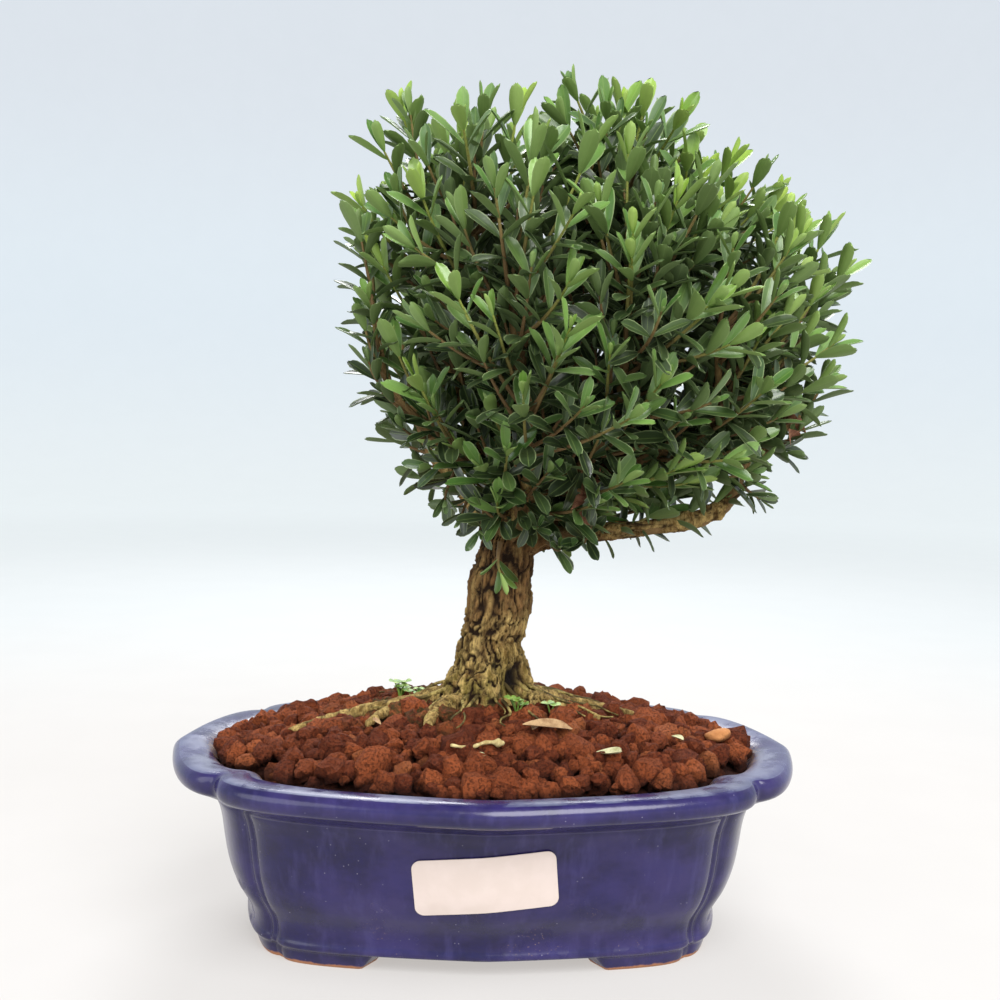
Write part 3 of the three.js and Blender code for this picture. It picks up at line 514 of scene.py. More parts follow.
def cutDrainHoles(piece):
    # Two fine cylinders are cut out of the floor, and the modifiers are applied
    cutters = []
    for side in (-1, 1):
        centres = np.array([[[side * pot["drainOffset"], 0, 0], [side * pot["drainOffset"], 0, 20]]], float)
        cutter = addPiece("drain_cutter", *tubes(centres, np.full((1, 2), pot["drainRadius"]), 48))
        hole = piece.modifiers.new("drain", "BOOLEAN")
        hole.operation = "DIFFERENCE"
        hole.solver = "EXACT"
        hole.object = cutter
        cutters.append(cutter)
    applyModifiers(piece)
    for cutter in cutters:
        bpy.data.objects.remove(cutter)


# Soil: a mass that fills the pot, dark with painted shade, and loose granules in layers over it
soil = {
    "edgeHeight": 67, "moundHeight": 18.5, "moundX": 78, "moundY": 55, "moundPower": 2.6,
    "wallGap": 0.6, "bedDrop": 5.5, "seed": 41,
    # spacing, mean radius, spread of the radius, drop under the surface
    "layers": [(7.3, 3.7, 0.24, 0.9), (7.3, 3.4, 0.2, 4), (6.4, 2.1, 0.3, 1.2)],
    # shake: sideways in shares of the spacing, up and down in millimetres
    "shake": 0.3, "jitter": 1.5,
    # how far a granule's middle stays from the edge and from roots, in shares of its radius
    "edgeShare": 0.75, "rootShare": 0.3,
    # a granule's grid, its cutting planes, the ball's reach, sharpness of the edges, stretch along its axes
    "around": 10, "rows": 5, "cuts": 6, "cutDepth": (0.56, 1), "ball": 0.85, "sharpness": 14,
    "stretch": (0.78, 1.2), "crisp": 0.5,
    # dents: depth, size and noise seed
    "dents": [(0.2, 0.6, 3), (0.18, 0.3, 4)],
    # moss near the trunk: middle, distances where it ends and is full, share of the granules
    "mossMiddle": (-12, 2), "mossReach": (62, 20), "mossShare": 0.3,
    # the trunk's middle and the radius left free for it
    "trunkHole": (1, 4.5, 13),
    # height, inset and wall of the mass's rings from the pot's floor up
    "massRings": [(12.6, 29, 11), (20, 26, 8), (34, 20.4, 6), (58, 14, 7.4), (64, 7.2, 9.6)],
    "massFloor": 12.5, "massRows": 40, "massTop": (6.5, 10), "massWaves": 1.2,
    "pebble": (89.5, -8), "pebbleRadius": 5.4, "pebbleStretch": (1.25, 0.9, 0.72),
    "pebbleLift": 3.8, "pebbleClear": 5.5,
}


def soilHeight(x, y):  # edge + mound · exp(-((x/a)^p + (y/b)^p))
    fall = np.abs(x / soil["moundX"]) ** soil["moundPower"] + np.abs(y / soil["moundY"]) ** soil["moundPower"]
    return soil["edgeHeight"] + soil["moundHeight"] * np.exp(-fall)


def onSoil(x, y, lift=0.0):  # a place that high above the soil's surface
    return np.array([x, y, soilHeight(x, y) + lift])


def soilMaterial():
    clay = Shade("redGranules", Specular_IOR_Level=0.2)
    tone = clay.attribute("tone")
    body = clay.blend(tone, 0.1, 0.9, "642c16", "984e2a")
    body = clay.tint(body, tone, 0.84, 1, 0.6, "a06038")
    body = clay.tint(body, clay.noise(2.4, 5, 0.75), 0.45, 0.75, 0.55, "945236")
    pores = clay.between(clay.noise(0.9, 5, 0.8), 0.38, 0.5)
    # darker in the pores, where the fine bump dips: the stone's own pores and painted shade in them
    body = clay.mix(clay.times(clay.math("SUBTRACT", 1, pores), 0.6), body, colour("30120a"))
    body = clay.tint(body, clay.noise(0.5, 3, 0.8), 0.62, 0.75, 0.5, "c08e6c")
    # painted shade: darker the lower a point lies under the soil's surface, in the gaps and under the
    # granules
    body = clay.tint(body, clay.attribute("raised"), 2, -3.4, 0.85, "210b06")
    moss = clay.times(clay.attribute("moss"), clay.between(clay.noise(2, 5, 0.7), 0.35, 0.6))
    body = clay.mix(moss, body, colour("3c3d20"))
    coarse = clay.bump(clay.noise(2.3, 6, 0.75), 2.1)
    fine = clay.bump(pores, 0.35, 1, coarse)
    return clay.finish(Base_Color=body, Roughness=0.95, Normal=fine)


def pebbleMaterial():
    stone = Shade("tanPebble", Specular_IOR_Level=0.3)
    body = stone.mix(stone.noise(2.2, 5), colour("a8683c"), colour("c98f58"))
    body = stone.tint(body, stone.noise(0.7, 4), 0.55, 0.7, 0.6, "7a4426")
    return stone.finish(Base_Color=body, Roughness=0.85, Normal=stone.bump(stone.noise(0.9, 5, 0.7), 0.6))


def inPlan(x, y, margin):
    # Inside the soil's outline: the plan's quarter lobes at the soil's edge, shrunk by the margin
    rimInset, rimWall = 4.8, 10
    ring = potRings([rimInset], [rimWall + soil["wallGap"]], [0])[0]
    angles = np.arctan2(ring[:, 1], ring[:, 0])
    order = np.argsort(angles)
    reach = np.interp(np.arctan2(y, x), angles[order], np.hypot(*ring[order].T), period=2 * np.pi)
    return np.hypot(x, y) < reach - margin


def lumpShapes(centres, radii, draw):
    # Broken stones: planes at random depths cut a ball, so its radius towards d is the least depth / (d · n),
    # as a power mean that rounds the edges; then each is stretched along three axes, turned and roughened
    count = len(radii)
    polar = np.linspace(0, np.pi, soil["rows"] + 2)[1:-1, None]
    turn = np.arange(soil["around"]) * 2 * np.pi / soil["around"]
    sphere = np.dstack([np.sin(polar) * np.cos(turn), np.sin(polar) * np.sin(turn), np.cos(polar) + 0 * turn])
    sphere = np.vstack([sphere[::-1].reshape(-1, 3), [[0, 0, -1], [0, 0, 1]]])
    facing = np.einsum("vk,npk->nvp", sphere, unit(draw.normal(size=(count, soil["cuts"], 3))))
    nearness = np.maximum(facing, 0) / draw.uniform(*soil["cutDepth"], (count, 1, soil["cuts"]))
    power = soil["sharpness"]
    reach = ((nearness ** power).sum(2) + soil["ball"] ** power) ** (-1 / power)
    stretch = draw.uniform(*soil["stretch"], (count, 1, 3))
    axes = unit(draw.normal(size=(count, 2, 3)))
    first = axes[:, 0]
    second = squareTo(first, axes[:, 1])
    turned = np.stack([first, second, np.cross(first, second)], 1)
    shape = np.einsum("nvk,nkj->nvj", sphere * reach[..., None] * stretch, turned)
    shift = draw.uniform(0, 900, (count, 1, 3))
    rough = 1.04
    for depth, size, seed in soil["dents"]:
        rough = rough + depth * softNoise(shape + shift, size, seed)
    return centres[:, None] + shape * (rough * radii[:, None])[..., None]


def makeSoil(material, stone):
    makeSoilMass(material)
    draw = np.random.default_rng(soil["seed"])
    centres, radii = scatteredGranules(draw)
    shapes = lumpShapes(centres, radii, draw)
    count, size = shapes.shape[:2]
    quads = repeated(gridQuads(soil["rows"], soil["around"]), count, size)
    fans = repeated(capFans(soil["rows"], soil["around"]), count, size)
    piece = addPiece("soil_granules", shapes.reshape(-1, 3), quads, fans, soil["crisp"])
    raised = shapes[..., 2] - soilHeight(shapes[..., 0], shapes[..., 1])
    x, y = (centres[:, :2] - soil["mossMiddle"]).T
    moss = smoothStep(*soil["mossReach"], np.hypot(x, y * 1.5)) * (draw.random(count) < soil["mossShare"])
    tone = draw.random(count)
    setValues(piece, tone=np.repeat(tone, size), raised=raised, moss=np.repeat(moss, size))
    dress(piece, [material])

    shape = lumpShapes(np.zeros((1, 3)), np.array([soil["pebbleRadius"]]), np.random.default_rng(7))
    place = shape.reshape(-1, 3) * soil["pebbleStretch"] + onSoil(*soil["pebble"], soil["pebbleLift"])
    pebble = addGrid("tan_pebble", place, soil["rows"], soil["around"])
    rounder = pebble.modifiers.new("rounder", "SUBSURF")
    rounder.levels = rounder.render_levels = 2
    dress(pebble, [stone])


def makeSoilMass(material):
    # Rings follow the pot's inner wall up, then shrink over the mound to its middle, and over the floor below
    gap = soil["wallGap"]
    height, inset, wall = np.array(soil["massRings"]).T
    rings = potRings(inset, wall + gap, np.zeros(len(inset)))
    shares = np.linspace(1, 0.04, soil["massRows"])
    topInset, topWall = soil["massTop"]
    top = potRings([topInset], [topWall + gap], [0]) * shares[:, None, None]
    bed = soilHeight(top[..., 0], top[..., 1]) - soil["bedDrop"]
    waves = layeredNoise(np.dstack([top, bed]), 6, 2, 8) * smoothStep(1, 0.94, shares)[:, None]
    bed = bed + soil["massWaves"] * waves
    floorPlan = potRings([pot["footInset"]], [pot["footThickness"] + gap], [0])
    floorPlan = floorPlan * np.array([0.1, 0.5, 0.9])[:, None, None]
    plan = np.concatenate([floorPlan, rings, top])
    below = np.full(floorPlan.shape[:2], soil["massFloor"])
    level = np.concatenate([below, height[:, None] + 0 * rings[..., 0], bed])
    hubs = [[0, 0, soil["massFloor"]], onSoil(0, 0, -soil["bedDrop"])]
    points = np.vstack([np.dstack([plan, level]).reshape(-1, 3), hubs])
    mass = addGrid("soil_mass", points, *level.shape)
    none = np.zeros(len(points))
    # set low under the surface, so the whole mass takes the painted shade of the gaps
    setValues(mass, tone=none, raised=none - soil["bedDrop"], moss=none)
    dress(mass, [material], ["soil"])


def scatteredGranules(draw):
    # Middles and radii: three layers of a triangular lattice, shaken, less what the trunk and roots cover
    centres, radii = [], []
    holeX, holeY, hole = soil["trunkHole"]
    for spacing, radius, spread, drop in soil["layers"]:
        rowSpacing = spacing * 0.866  # equal-sided triangles
        x, y = np.meshgrid(np.arange(-120, 120, spacing), np.arange(-90, 90, rowSpacing))
        oddRow = (np.arange(len(x)) % 2)[:, None]
        x = x + (oddRow / 2 + soil["shake"] * draw.uniform(-1, 1, x.shape)) * spacing
        y = y + soil["shake"] * draw.uniform(-1, 1, y.shape) * spacing
        size = radius * np.exp(spread * draw.normal(size=x.shape))
        kept = inPlan(x, y, size * soil["edgeShare"]) & (np.hypot(x - holeX, y - holeY) >= hole)
        x, y, size = x[kept], y[kept], size[kept]
        lift = soil["jitter"] * draw.uniform(-1, 1, x.shape) - drop
        centres.append(onSoil(x, y, lift).T)
        radii.append(size)
    centres, radii = np.concatenate(centres), np.concatenate(radii)
    besidePebble = np.hypot(*(centres[:, :2] - soil["pebble"]).T) > soil["pebbleClear"]
    kept = (rootClearance(centres) > soil["rootShare"] * radii) & besidePebble
    return centres[kept], radii[kept]


# Wood: the trunk's, branches' and roots' centre lines with radii
wood = {
    "trunk": [
        (1, 5, 60, 10), (1, 5, 72, 15), (0.6, 4.5, 83, 19), (0.8, 4, 90, 17.2), (1.6, 4, 97, 14.2),
        (1.4, 4, 104, 12.6), (1.9, 4, 110, 11.4), (3.6, 4, 116, 11.9), (5, 4, 129, 12), (6.4, 4, 140, 11.2),
        (8, 3.5, 149, 9.4), (9, 2.5, 156, 6.5),
    ],
    "branches": [
        [(6, 3, 147, 6.5), (5, 2, 160, 5.4), (4.9, 2, 172, 4.6), (-3.8, 1, 186.5, 3.6), (-10.2, 2, 197, 3),
         (-14.7, 3, 213, 2.6), (-19.5, 4, 228, 2.1), (-22, 6, 250, 1.6), (-20, 8, 270, 1.2)],
        [(8, 0, 150, 5.5), (14.9, -6, 164, 4.2), (21.8, -8, 187, 3.4), (16.2, -8, 203, 2.9),
         (9.6, -8, 213, 2.6), (1.5, -9, 224, 2.2), (-6, -12, 240, 1.7), (-8, -12, 262, 1.2)],
        [(9, 3, 150, 6), (16, 2, 168, 4.6), (29.6, 2, 186, 3.8), (35, 4, 200, 3.2), (34, 6, 219, 2.7),
         (37, 6, 242, 2.1), (44, 8, 262, 1.6), (46, 8, 282, 1.2)],
        [(6, 4, 145, 6.2), (20, 0, 148.5, 4.4), (38, -4, 151.7, 3.4), (61, -5, 154.6, 3), (80, -5, 158, 2.9),
         (90.6, -4, 165, 2.7), (95.2, -4, 177, 2.4), (98.6, -3, 190, 2.1), (100, -2, 206, 1.8),
         (106, 0, 226, 1.4), (110, 2, 246, 1.1)],
        [(9, 0, 152, 5), (13, -9, 165, 3.6), (29, -14, 173, 3), (47, -16, 178, 2.6), (62, -17, 184, 2.3),
         (79, -18, 193, 2), (91, -20, 206, 1.6), (97, -20, 226, 1.2)],
        [(94.5, -4, 175, 2.2), (103.4, -2, 183, 1.7), (110.6, 0, 190, 1.5), (119, 2, 198, 1.2)],
        [(5, 1, 168, 3.6), (-4, -4, 175, 2.9), (-14, -7, 181.6, 2.4), (-27, -9, 192, 2), (-38, -10, 205, 1.6),
         (-43, -10, 222, 1.2)],
        [(7, 7, 146, 6), (9, 18, 160, 4.2), (10, 28, 178, 3.2), (8, 36, 202, 2.5), (4, 40, 226, 1.9),
         (0, 40, 252, 1.2)],
        [(8, 6, 148, 5.5), (26, 18, 160, 3.8), (42, 28, 178, 3), (50, 36, 204, 2.3), (56, 40, 232, 1.7),
         (58, 38, 258, 1.2)],
        [(20, 0, 149, 3.6), (40, 14, 158, 3), (64, 26, 168, 2.6), (82, 32, 186, 2.2), (94, 34, 208, 1.7),
         (98, 32, 232, 1.2)],
        [(4, 5, 150, 5), (-8, 16, 164, 3.4), (-22, 24, 180, 2.6), (-32, 30, 202, 2), (-36, 32, 228, 1.3)],
        [(14, -7, 163, 3.4), (14, -20, 172, 2.7), (12, -32, 190, 2.2), (8, -38, 212, 1.7),
         (4, -38, 236, 1.2)],
        [(28, -13.5, 173, 2.6), (38, -26, 184, 2.2), (44, -36, 204, 1.8), (46, -40, 230, 1.2)],
        [(78, -17.5, 192.5, 1.8), (80, -30, 206, 1.5), (78, -36, 226, 1.1)],
        [(35.5, 5, 205, 2.4), (50, 6, 222, 2), (66, 6, 244, 1.6), (74, 6, 268, 1.1)],
        [(12, -9, 176, 1.9), (19, -11, 179.5, 1.9), (25.5, -12, 180.4, 1.8)],
    ],
    # x, y and radius; the height follows the soil
    "roots": [
        [(-8, 2, 6), (-18, 0, 4), (-28, -3, 2.5), (-42, -6, 2.1), (-54, -8, 1.8), (-64, -9, 1.5),
         (-74, -14, 1)],
        [(-34, -4, 2.1), (-38, -14, 1.7), (-44, -24, 1.1)],
        [(8, -2, 6), (17, -6, 4.2), (26, -8, 2.6), (34, -10, 1.8), (42, -16, 1.1)],
        [(8, 4, 6), (20, 3, 3.4), (32, 2, 2.2), (46, 3, 1.6), (58, 6, 1)],
        [(-2, 8, 6), (-10, 20, 3.6), (-16, 32, 2), (-20, 44, 1.2)],
        [(4, 8, 6), (14, 20, 3.4), (22, 32, 2), (30, 42, 1.1)],
        [(-6, -4, 6), (-14, -13, 3.8), (-20, -22, 2.2), (-22, -32, 1.2)],
    ],
    "rootLift": 1.5, "rootStartDrop": 3.6,
    # thin strands that fan out from the trunk's foot: lengths, radii, sideways bend, rise and dip
    "strands": 30, "strandStart": 11, "strandLength": (16, 46), "strandRadius": (0.5, 1.0),
    "strandBend": 0.17, "strandDip": 1.1, "strandLift": 4.6, "strandSeed": 3, "goldenTurn": 2.4,
    "corkRadius": 2.5, "corkSwell": 0.35, "voxel": 0.58,
    "grainStretch": 4, "plateSize": 5, "plateDepth": 1.2, "flakeSize": 1.7, "flakeDepth": 0.95,
    "crackSize": 2.4, "crackDepth": 1.3, "crackWidth": 0.19,
    # finer cracks: size, width and depth in shares of the large ones'
    "fineCracks": (0.5, 1.6, 0.5),
    # wandering of the grain and crumbs on the skin: size and depth
    "wander": (5, 0.7), "crumbs": (1.3, 0.4),
    # radii from which cracks and plates have their full depth
    "fullCracks": 6, "fullPlates": 7,
    # a branch's two noises: size, share of its radius
    "branchGrain": (2.2, 0.2), "branchWaves": (6, 0.12),
    # hollows in the wood, and knobs with a depth below zero: x, y, z, radius, depth
    "hollows": [
        (12.5, -9, 97, 5, 6.5), (3, -11, 101.5, 2, 3.4), (9, -13, 90, 4, 3), (16, 2, 95, 6, -2.2),
        (74.7, -6, 161, 3.4, -2.2), (88, -5, 159, 2.6, -1.4), (62, -5, 152, 2.6, 1), (9, -9, 132, 4.5, 1.2),
    ],
    # hollows deeper than this have painted shade inside
    "hollowStretch": [1, 1.6, 1.3], "shadedHollowDepth": 3,
}


def limbCurve(points, steps):
    # Samples of a limb: places on its curve and radii that change evenly between its points
    points = np.asarray(points, float)
    shares = np.linspace(0, 1, steps)
    centres = throughPoints(points[:, :3], shares)
    radii = np.interp(shares * (len(points) - 1), np.arange(len(points)), points[:, 3])
    return centres, radii


def rootPoints(root):
    x, y, radius = np.array(root, float).T
    isStart = np.arange(len(x)) == 0
    return np.vstack([onSoil(x, y, wood["rootLift"] - wood["rootStartDrop"] * isStart), radius]).T


def rootClearance(points):  # distance of each point from the skin of the nearest root
    samples = [limbCurve(rootPoints(root), 60) for root in wood["roots"]]
    centres = np.vstack([place for place, _ in samples])
    radii = np.concatenate([radius for _, radius in samples])
    return (np.linalg.norm(points[:, None] - centres, axis=-1) - radii).min(1)


def joinedTubes(limbs, sides, spacing):
    # One list of points and faces for many tubes, each with rings at the given spacing
    points, quads, fans, start = [], [], [], 0
    for limb in limbs:
        limb = np.asarray(limb, float)
        length = np.linalg.norm(np.diff(limb[:, :3], axis=0), axis=1).sum()
        centres, radii = limbCurve(limb, max(6, int(length / spacing)))
        p, q, f = tubes(centres[None], radii[None], sides)
        points.append(p)
        quads.append(q + start)
        fans.append(f + start)
        start += len(p)
    return np.vstack(points), np.vstack(quads), np.vstack(fans)


def grainAt(points, limbs):
    # Where each point lies on the limb nearest to it: place drawn out along the grain, and the limb's radius.
    # The place is the offset square to the limb plus tangent · (length run / grainStretch)
    centres, tangents, radii, runs = [], [], [], []
    for limb in limbs:
        c, r = limbCurve(limb, 90)
        centres.append(c)
        tangents.append(unit(np.gradient(c, axis=0)))
        radii.append(r)
        runs.append(np.append(0, np.cumsum(np.linalg.norm(np.diff(c, axis=0), axis=1))) + 40 * len(runs))
    centres, tangents, radii, runs = (np.concatenate(value) for value in (centres, tangents, radii, runs))
    nearest = []
    for part in np.array_split(points, max(1, len(points) // 4000)):
        square = (part ** 2).sum(1)[:, None] + (centres ** 2).sum(1) - 2 * part @ centres.T
        nearest.append(np.argmin(np.sqrt(np.maximum(square, 0)) - radii, axis=1))
    nearest = np.concatenate(nearest)
    tangent = tangents[nearest]
    offset = points - centres[nearest]
    along = dot(offset, tangent)
    drawn = offset - tangent * along + tangent * (along + runs[nearest][:, None]) / wood["grainStretch"]
    return drawn, radii[nearest]


def barkMaterial():
    bark = Shade("corkyBark", Specular_IOR_Level=0.2)
    height = bark.axis("Z")
    grained = bark.stretched((1, 1, 0.25))
    tan = bark.blend(bark.noise(2.6, 6, 0.75, grained), 0.35, 0.65, "7e5e30", "e8c67c")
    brown = bark.blend(bark.noise(1.8, 6, 0.75, grained), 0.35, 0.65, "4a321e", "a87e4c")
    # tan below, brown on the upper trunk, tan again on the branches
    branchShare = bark.between(height, 0.148, 0.152, 0, 0.9)
    upper = bark.math("SUBTRACT", bark.between(height, 0.098, 0.135), branchShare)
    upper = bark.plus(upper, bark.between(bark.noise(8), 0.3, 0.7, -0.4, 0.35))
    plate = bark.mix(bark.math("MULTIPLY", upper, 0.9, clamp=True), tan, brown)
    # green algae near the soil, less of it on thin roots
    patches = bark.between(bark.noise(5, 5, 0.7, bark.stretched((1, 1, 0.5))), 0.38, 0.6)
    algae = bark.times(patches, bark.between(height, 0.116, 0.086))
    algae = bark.times(algae, bark.between(bark.attribute("thick"), 2, 8, 0.35, 1))
    plate = bark.mix(bark.times(algae, 0.72), plate, colour("726c26"))
    plate = bark.tint(plate, bark.noise(0.9, 5, 0.8, grained), 0.51, 0.64, 0.75, "3a2815")
    # darker where the ridge value is low, in the cracks: the bark's own dark fissures and painted shade
    body = bark.mix(bark.between(bark.attribute("ridge"), 0.2, 0.95), colour("2a1b0e"), plate)
    # painted shade inside the deep hollows
    body = bark.mix(bark.attribute("hollow"), body, colour("150d08"))
    coarse = bark.bump(bark.noise(1.1, 6, 0.8, grained), 1.5)
    fine = bark.bump(bark.noise(0.45, 4, 0.7), 0.3, 0.9, coarse)
    return bark.finish(Base_Color=body, Roughness=0.9, Normal=fine)


def barkMoved(points, normals, limbs):
    # Moves points along their normals: plates and flakes, minus cracks where noises drawn out along the grain
    # cross zero, minus the hollows. Returns the points, the plates' height, the hollows' share and the radius
    drawn, radius = grainAt(points, limbs)
    wanderSize, wanderDepth = wood["wander"]
    drawn = drawn + wanderDepth * np.stack([softNoise(points, wanderSize, k) for k in (11, 12, 13)], -1)
    width = wood["crackWidth"]
    fineSize, fineWidth, fineDepth = wood["fineCracks"]
    deep = 1 - smoothStep(0, width, np.abs(softNoise(drawn, wood["crackSize"], 21)))
    fine = 1 - smoothStep(0, width * fineWidth, np.abs(softNoise(drawn, wood["crackSize"] * fineSize, 22)))
    crack = np.maximum(deep, fineDepth * fine) * np.clip(radius / wood["fullCracks"], 0.3, 1)
    plates = layeredNoise(drawn, wood["plateSize"], 3, 31)
    flakes = layeredNoise(drawn, wood["flakeSize"], 2, 41)
    share = np.clip(radius / wood["fullPlates"], 0.18, 1) ** 0.75
    move = share * (wood["plateDepth"] * plates + wood["flakeDepth"] * flakes - wood["crackDepth"] * crack)
    crumbSize, crumbDepth = wood["crumbs"]
    move = move + wood["corkSwell"] + crumbDepth * layeredNoise(points, crumbSize, 2, 51) * share ** 0.5
    hollow = np.zeros(len(points))
    for x, y, z, size, depth in wood["hollows"]:
        away = (points - [x, y, z]) / wood["hollowStretch"]
        near = np.exp(-(away ** 2).sum(1) / size ** 2)
        move = move - depth * near
        hollow = np.maximum(hollow, smoothStep(0.25, 0.75, near * (depth > wood["shadedHollowDepth"])))
    # ridge value: low in cracks, higher on plates and flakes; it carries the cracks' own colour and painted
    # shade
    ridge = 0.85 - 0.8 * crack + 0.4 * flakes + 0.25 * plates
    return points + normals * move[:, None], ridge, hollow, radius


def remeshed(piece, size, rounds):
    # One skin round everything in the piece, from voxels of that size, smoothed a little
    skin = piece.modifiers.new("skin", "REMESH")
    skin.mode = "VOXEL"
    skin.voxel_size = size * millimetre
    soften = piece.modifiers.new("soften", "SMOOTH")
    soften.factor = 0.5
    soften.iterations = rounds
    applyModifiers(piece)


def makeTrunk(material):
    roots = [rootPoints(root) for root in wood["roots"]]
    limbs = [wood["trunk"], *wood["branches"], *roots]
    cork = [wood["trunk"], *roots]
    for branch in wood["branches"]:
        thick = [point for point in branch if point[3] >= wood["corkRadius"]]
        if len(thick) > 1:
            cork.append(thick)
    piece = addPiece("trunk_and_roots", *joinedTubes(cork, 24, 1.5))
    remeshed(piece, wood["voxel"], 4)
    points, normals = meshArrays(piece)
    moved, ridge, hollow, radius = barkMoved(points, normals, limbs)
    movePoints(piece, moved)
    piece.data.shade_smooth()
    setValues(piece, ridge=ridge, hollow=hollow, thick=radius)
    dress(piece, [material], ["trunk"])


def strandMaterial():
    skin = Shade("rootSkin", Specular_IOR_Level=0.25)
    body = skin.blend(skin.noise(2.5, 5, 0.7), 0.35, 0.65, "6a5a2a", "bca764")
    body = skin.mix(skin.between(skin.noise(11, 4, 0.7), 0.42, 0.62), colour("463a1c"), body)
    body = skin.tint(body, skin.noise(0.9, 5, 0.8), 0.52, 0.68, 0.8, "39301a")
    return skin.finish(Base_Color=body, Roughness=0.85, Normal=skin.bump(skin.noise(0.7, 5, 0.7), 0.35))


def makeStrands(material):
    # Thin roots: each runs out at its own angle, bends sideways by noise and dips in and out of the granules
    draw = np.random.default_rng(wood["strandSeed"])
    count = wood["strands"]
    share = np.linspace(0, 1, 34)
    angle = np.arange(count) * wood["goldenTurn"] + draw.normal(size=count) * 0.2
    reach = wood["strandStart"] + share * draw.uniform(*wood["strandLength"], (count, 1))
    seeds = draw.uniform(0, 500, (count, 1))

    def wandering(spacing, seed):  # a soft noise along each strand
        return softNoise(np.dstack([reach / spacing, seeds + 0 * reach, 0 * reach]), 1, seed)

    bent = angle[:, None] + wood["strandBend"] * wandering(11, 61) * share
    middleX, middleY, _ = soil["trunkHole"]
    x, y = middleX + reach * np.cos(bent), middleY + reach * 0.8 * np.sin(bent)
    lift = wood["strandLift"] - 2 * share + wood["strandDip"] * wandering(7, 62) + 4 * (1 - share) ** 6
    radius = draw.uniform(*wood["strandRadius"], (count, 1)) * (1.25 - 0.9 * share)
    piece = addPiece("root_strands", *tubes(np.moveaxis(onSoil(x, y, lift), 0, -1), radius, 8))
    dress(piece, [material])


def branchMaterial():
    bark = Shade("branchBark", Specular_IOR_Level=0.25)
    rough = bark.mix(bark.noise(1.8, 5, 0.7), colour("5a4128"), colour("a58556"))
    smooth = bark.mix(bark.noise(1.2, 4, 0.6), colour("6e5433"), colour("94794b"))
    body = bark.mix(bark.between(bark.attribute("thick"), 1.4, 2.6), smooth, rough)
    body = bark.tint(body, bark.noise(0.9, 4, 0.7), 0.58, 0.7, 0.7, "3a291a")
    return bark.finish(Base_Color=body, Roughness=0.85, Normal=bark.bump(bark.noise(0.8, 5, 0.7), 0.5))


def makeBranches(material):
    # Tubes moved out and in by noises of a share of their radius
    piece = addPiece("branches", *joinedTubes(wood["branches"], 12, 1.1))
    points, normals = meshArrays(piece)
    drawn, radius = grainAt(points, wood["branches"])
    grainSize, grainShare = wood["branchGrain"]
    waveSize, waveShare = wood["branchWaves"]
    grain = grainShare * radius * layeredNoise(drawn, grainSize, 2, 51)
    move = grain + waveShare * radius * softNoise(points, waveSize, 52)
    movePoints(piece, points + normals * move[:, None])
    setValues(piece, thick=radius)
    dress(piece, [material], ["trunk"])


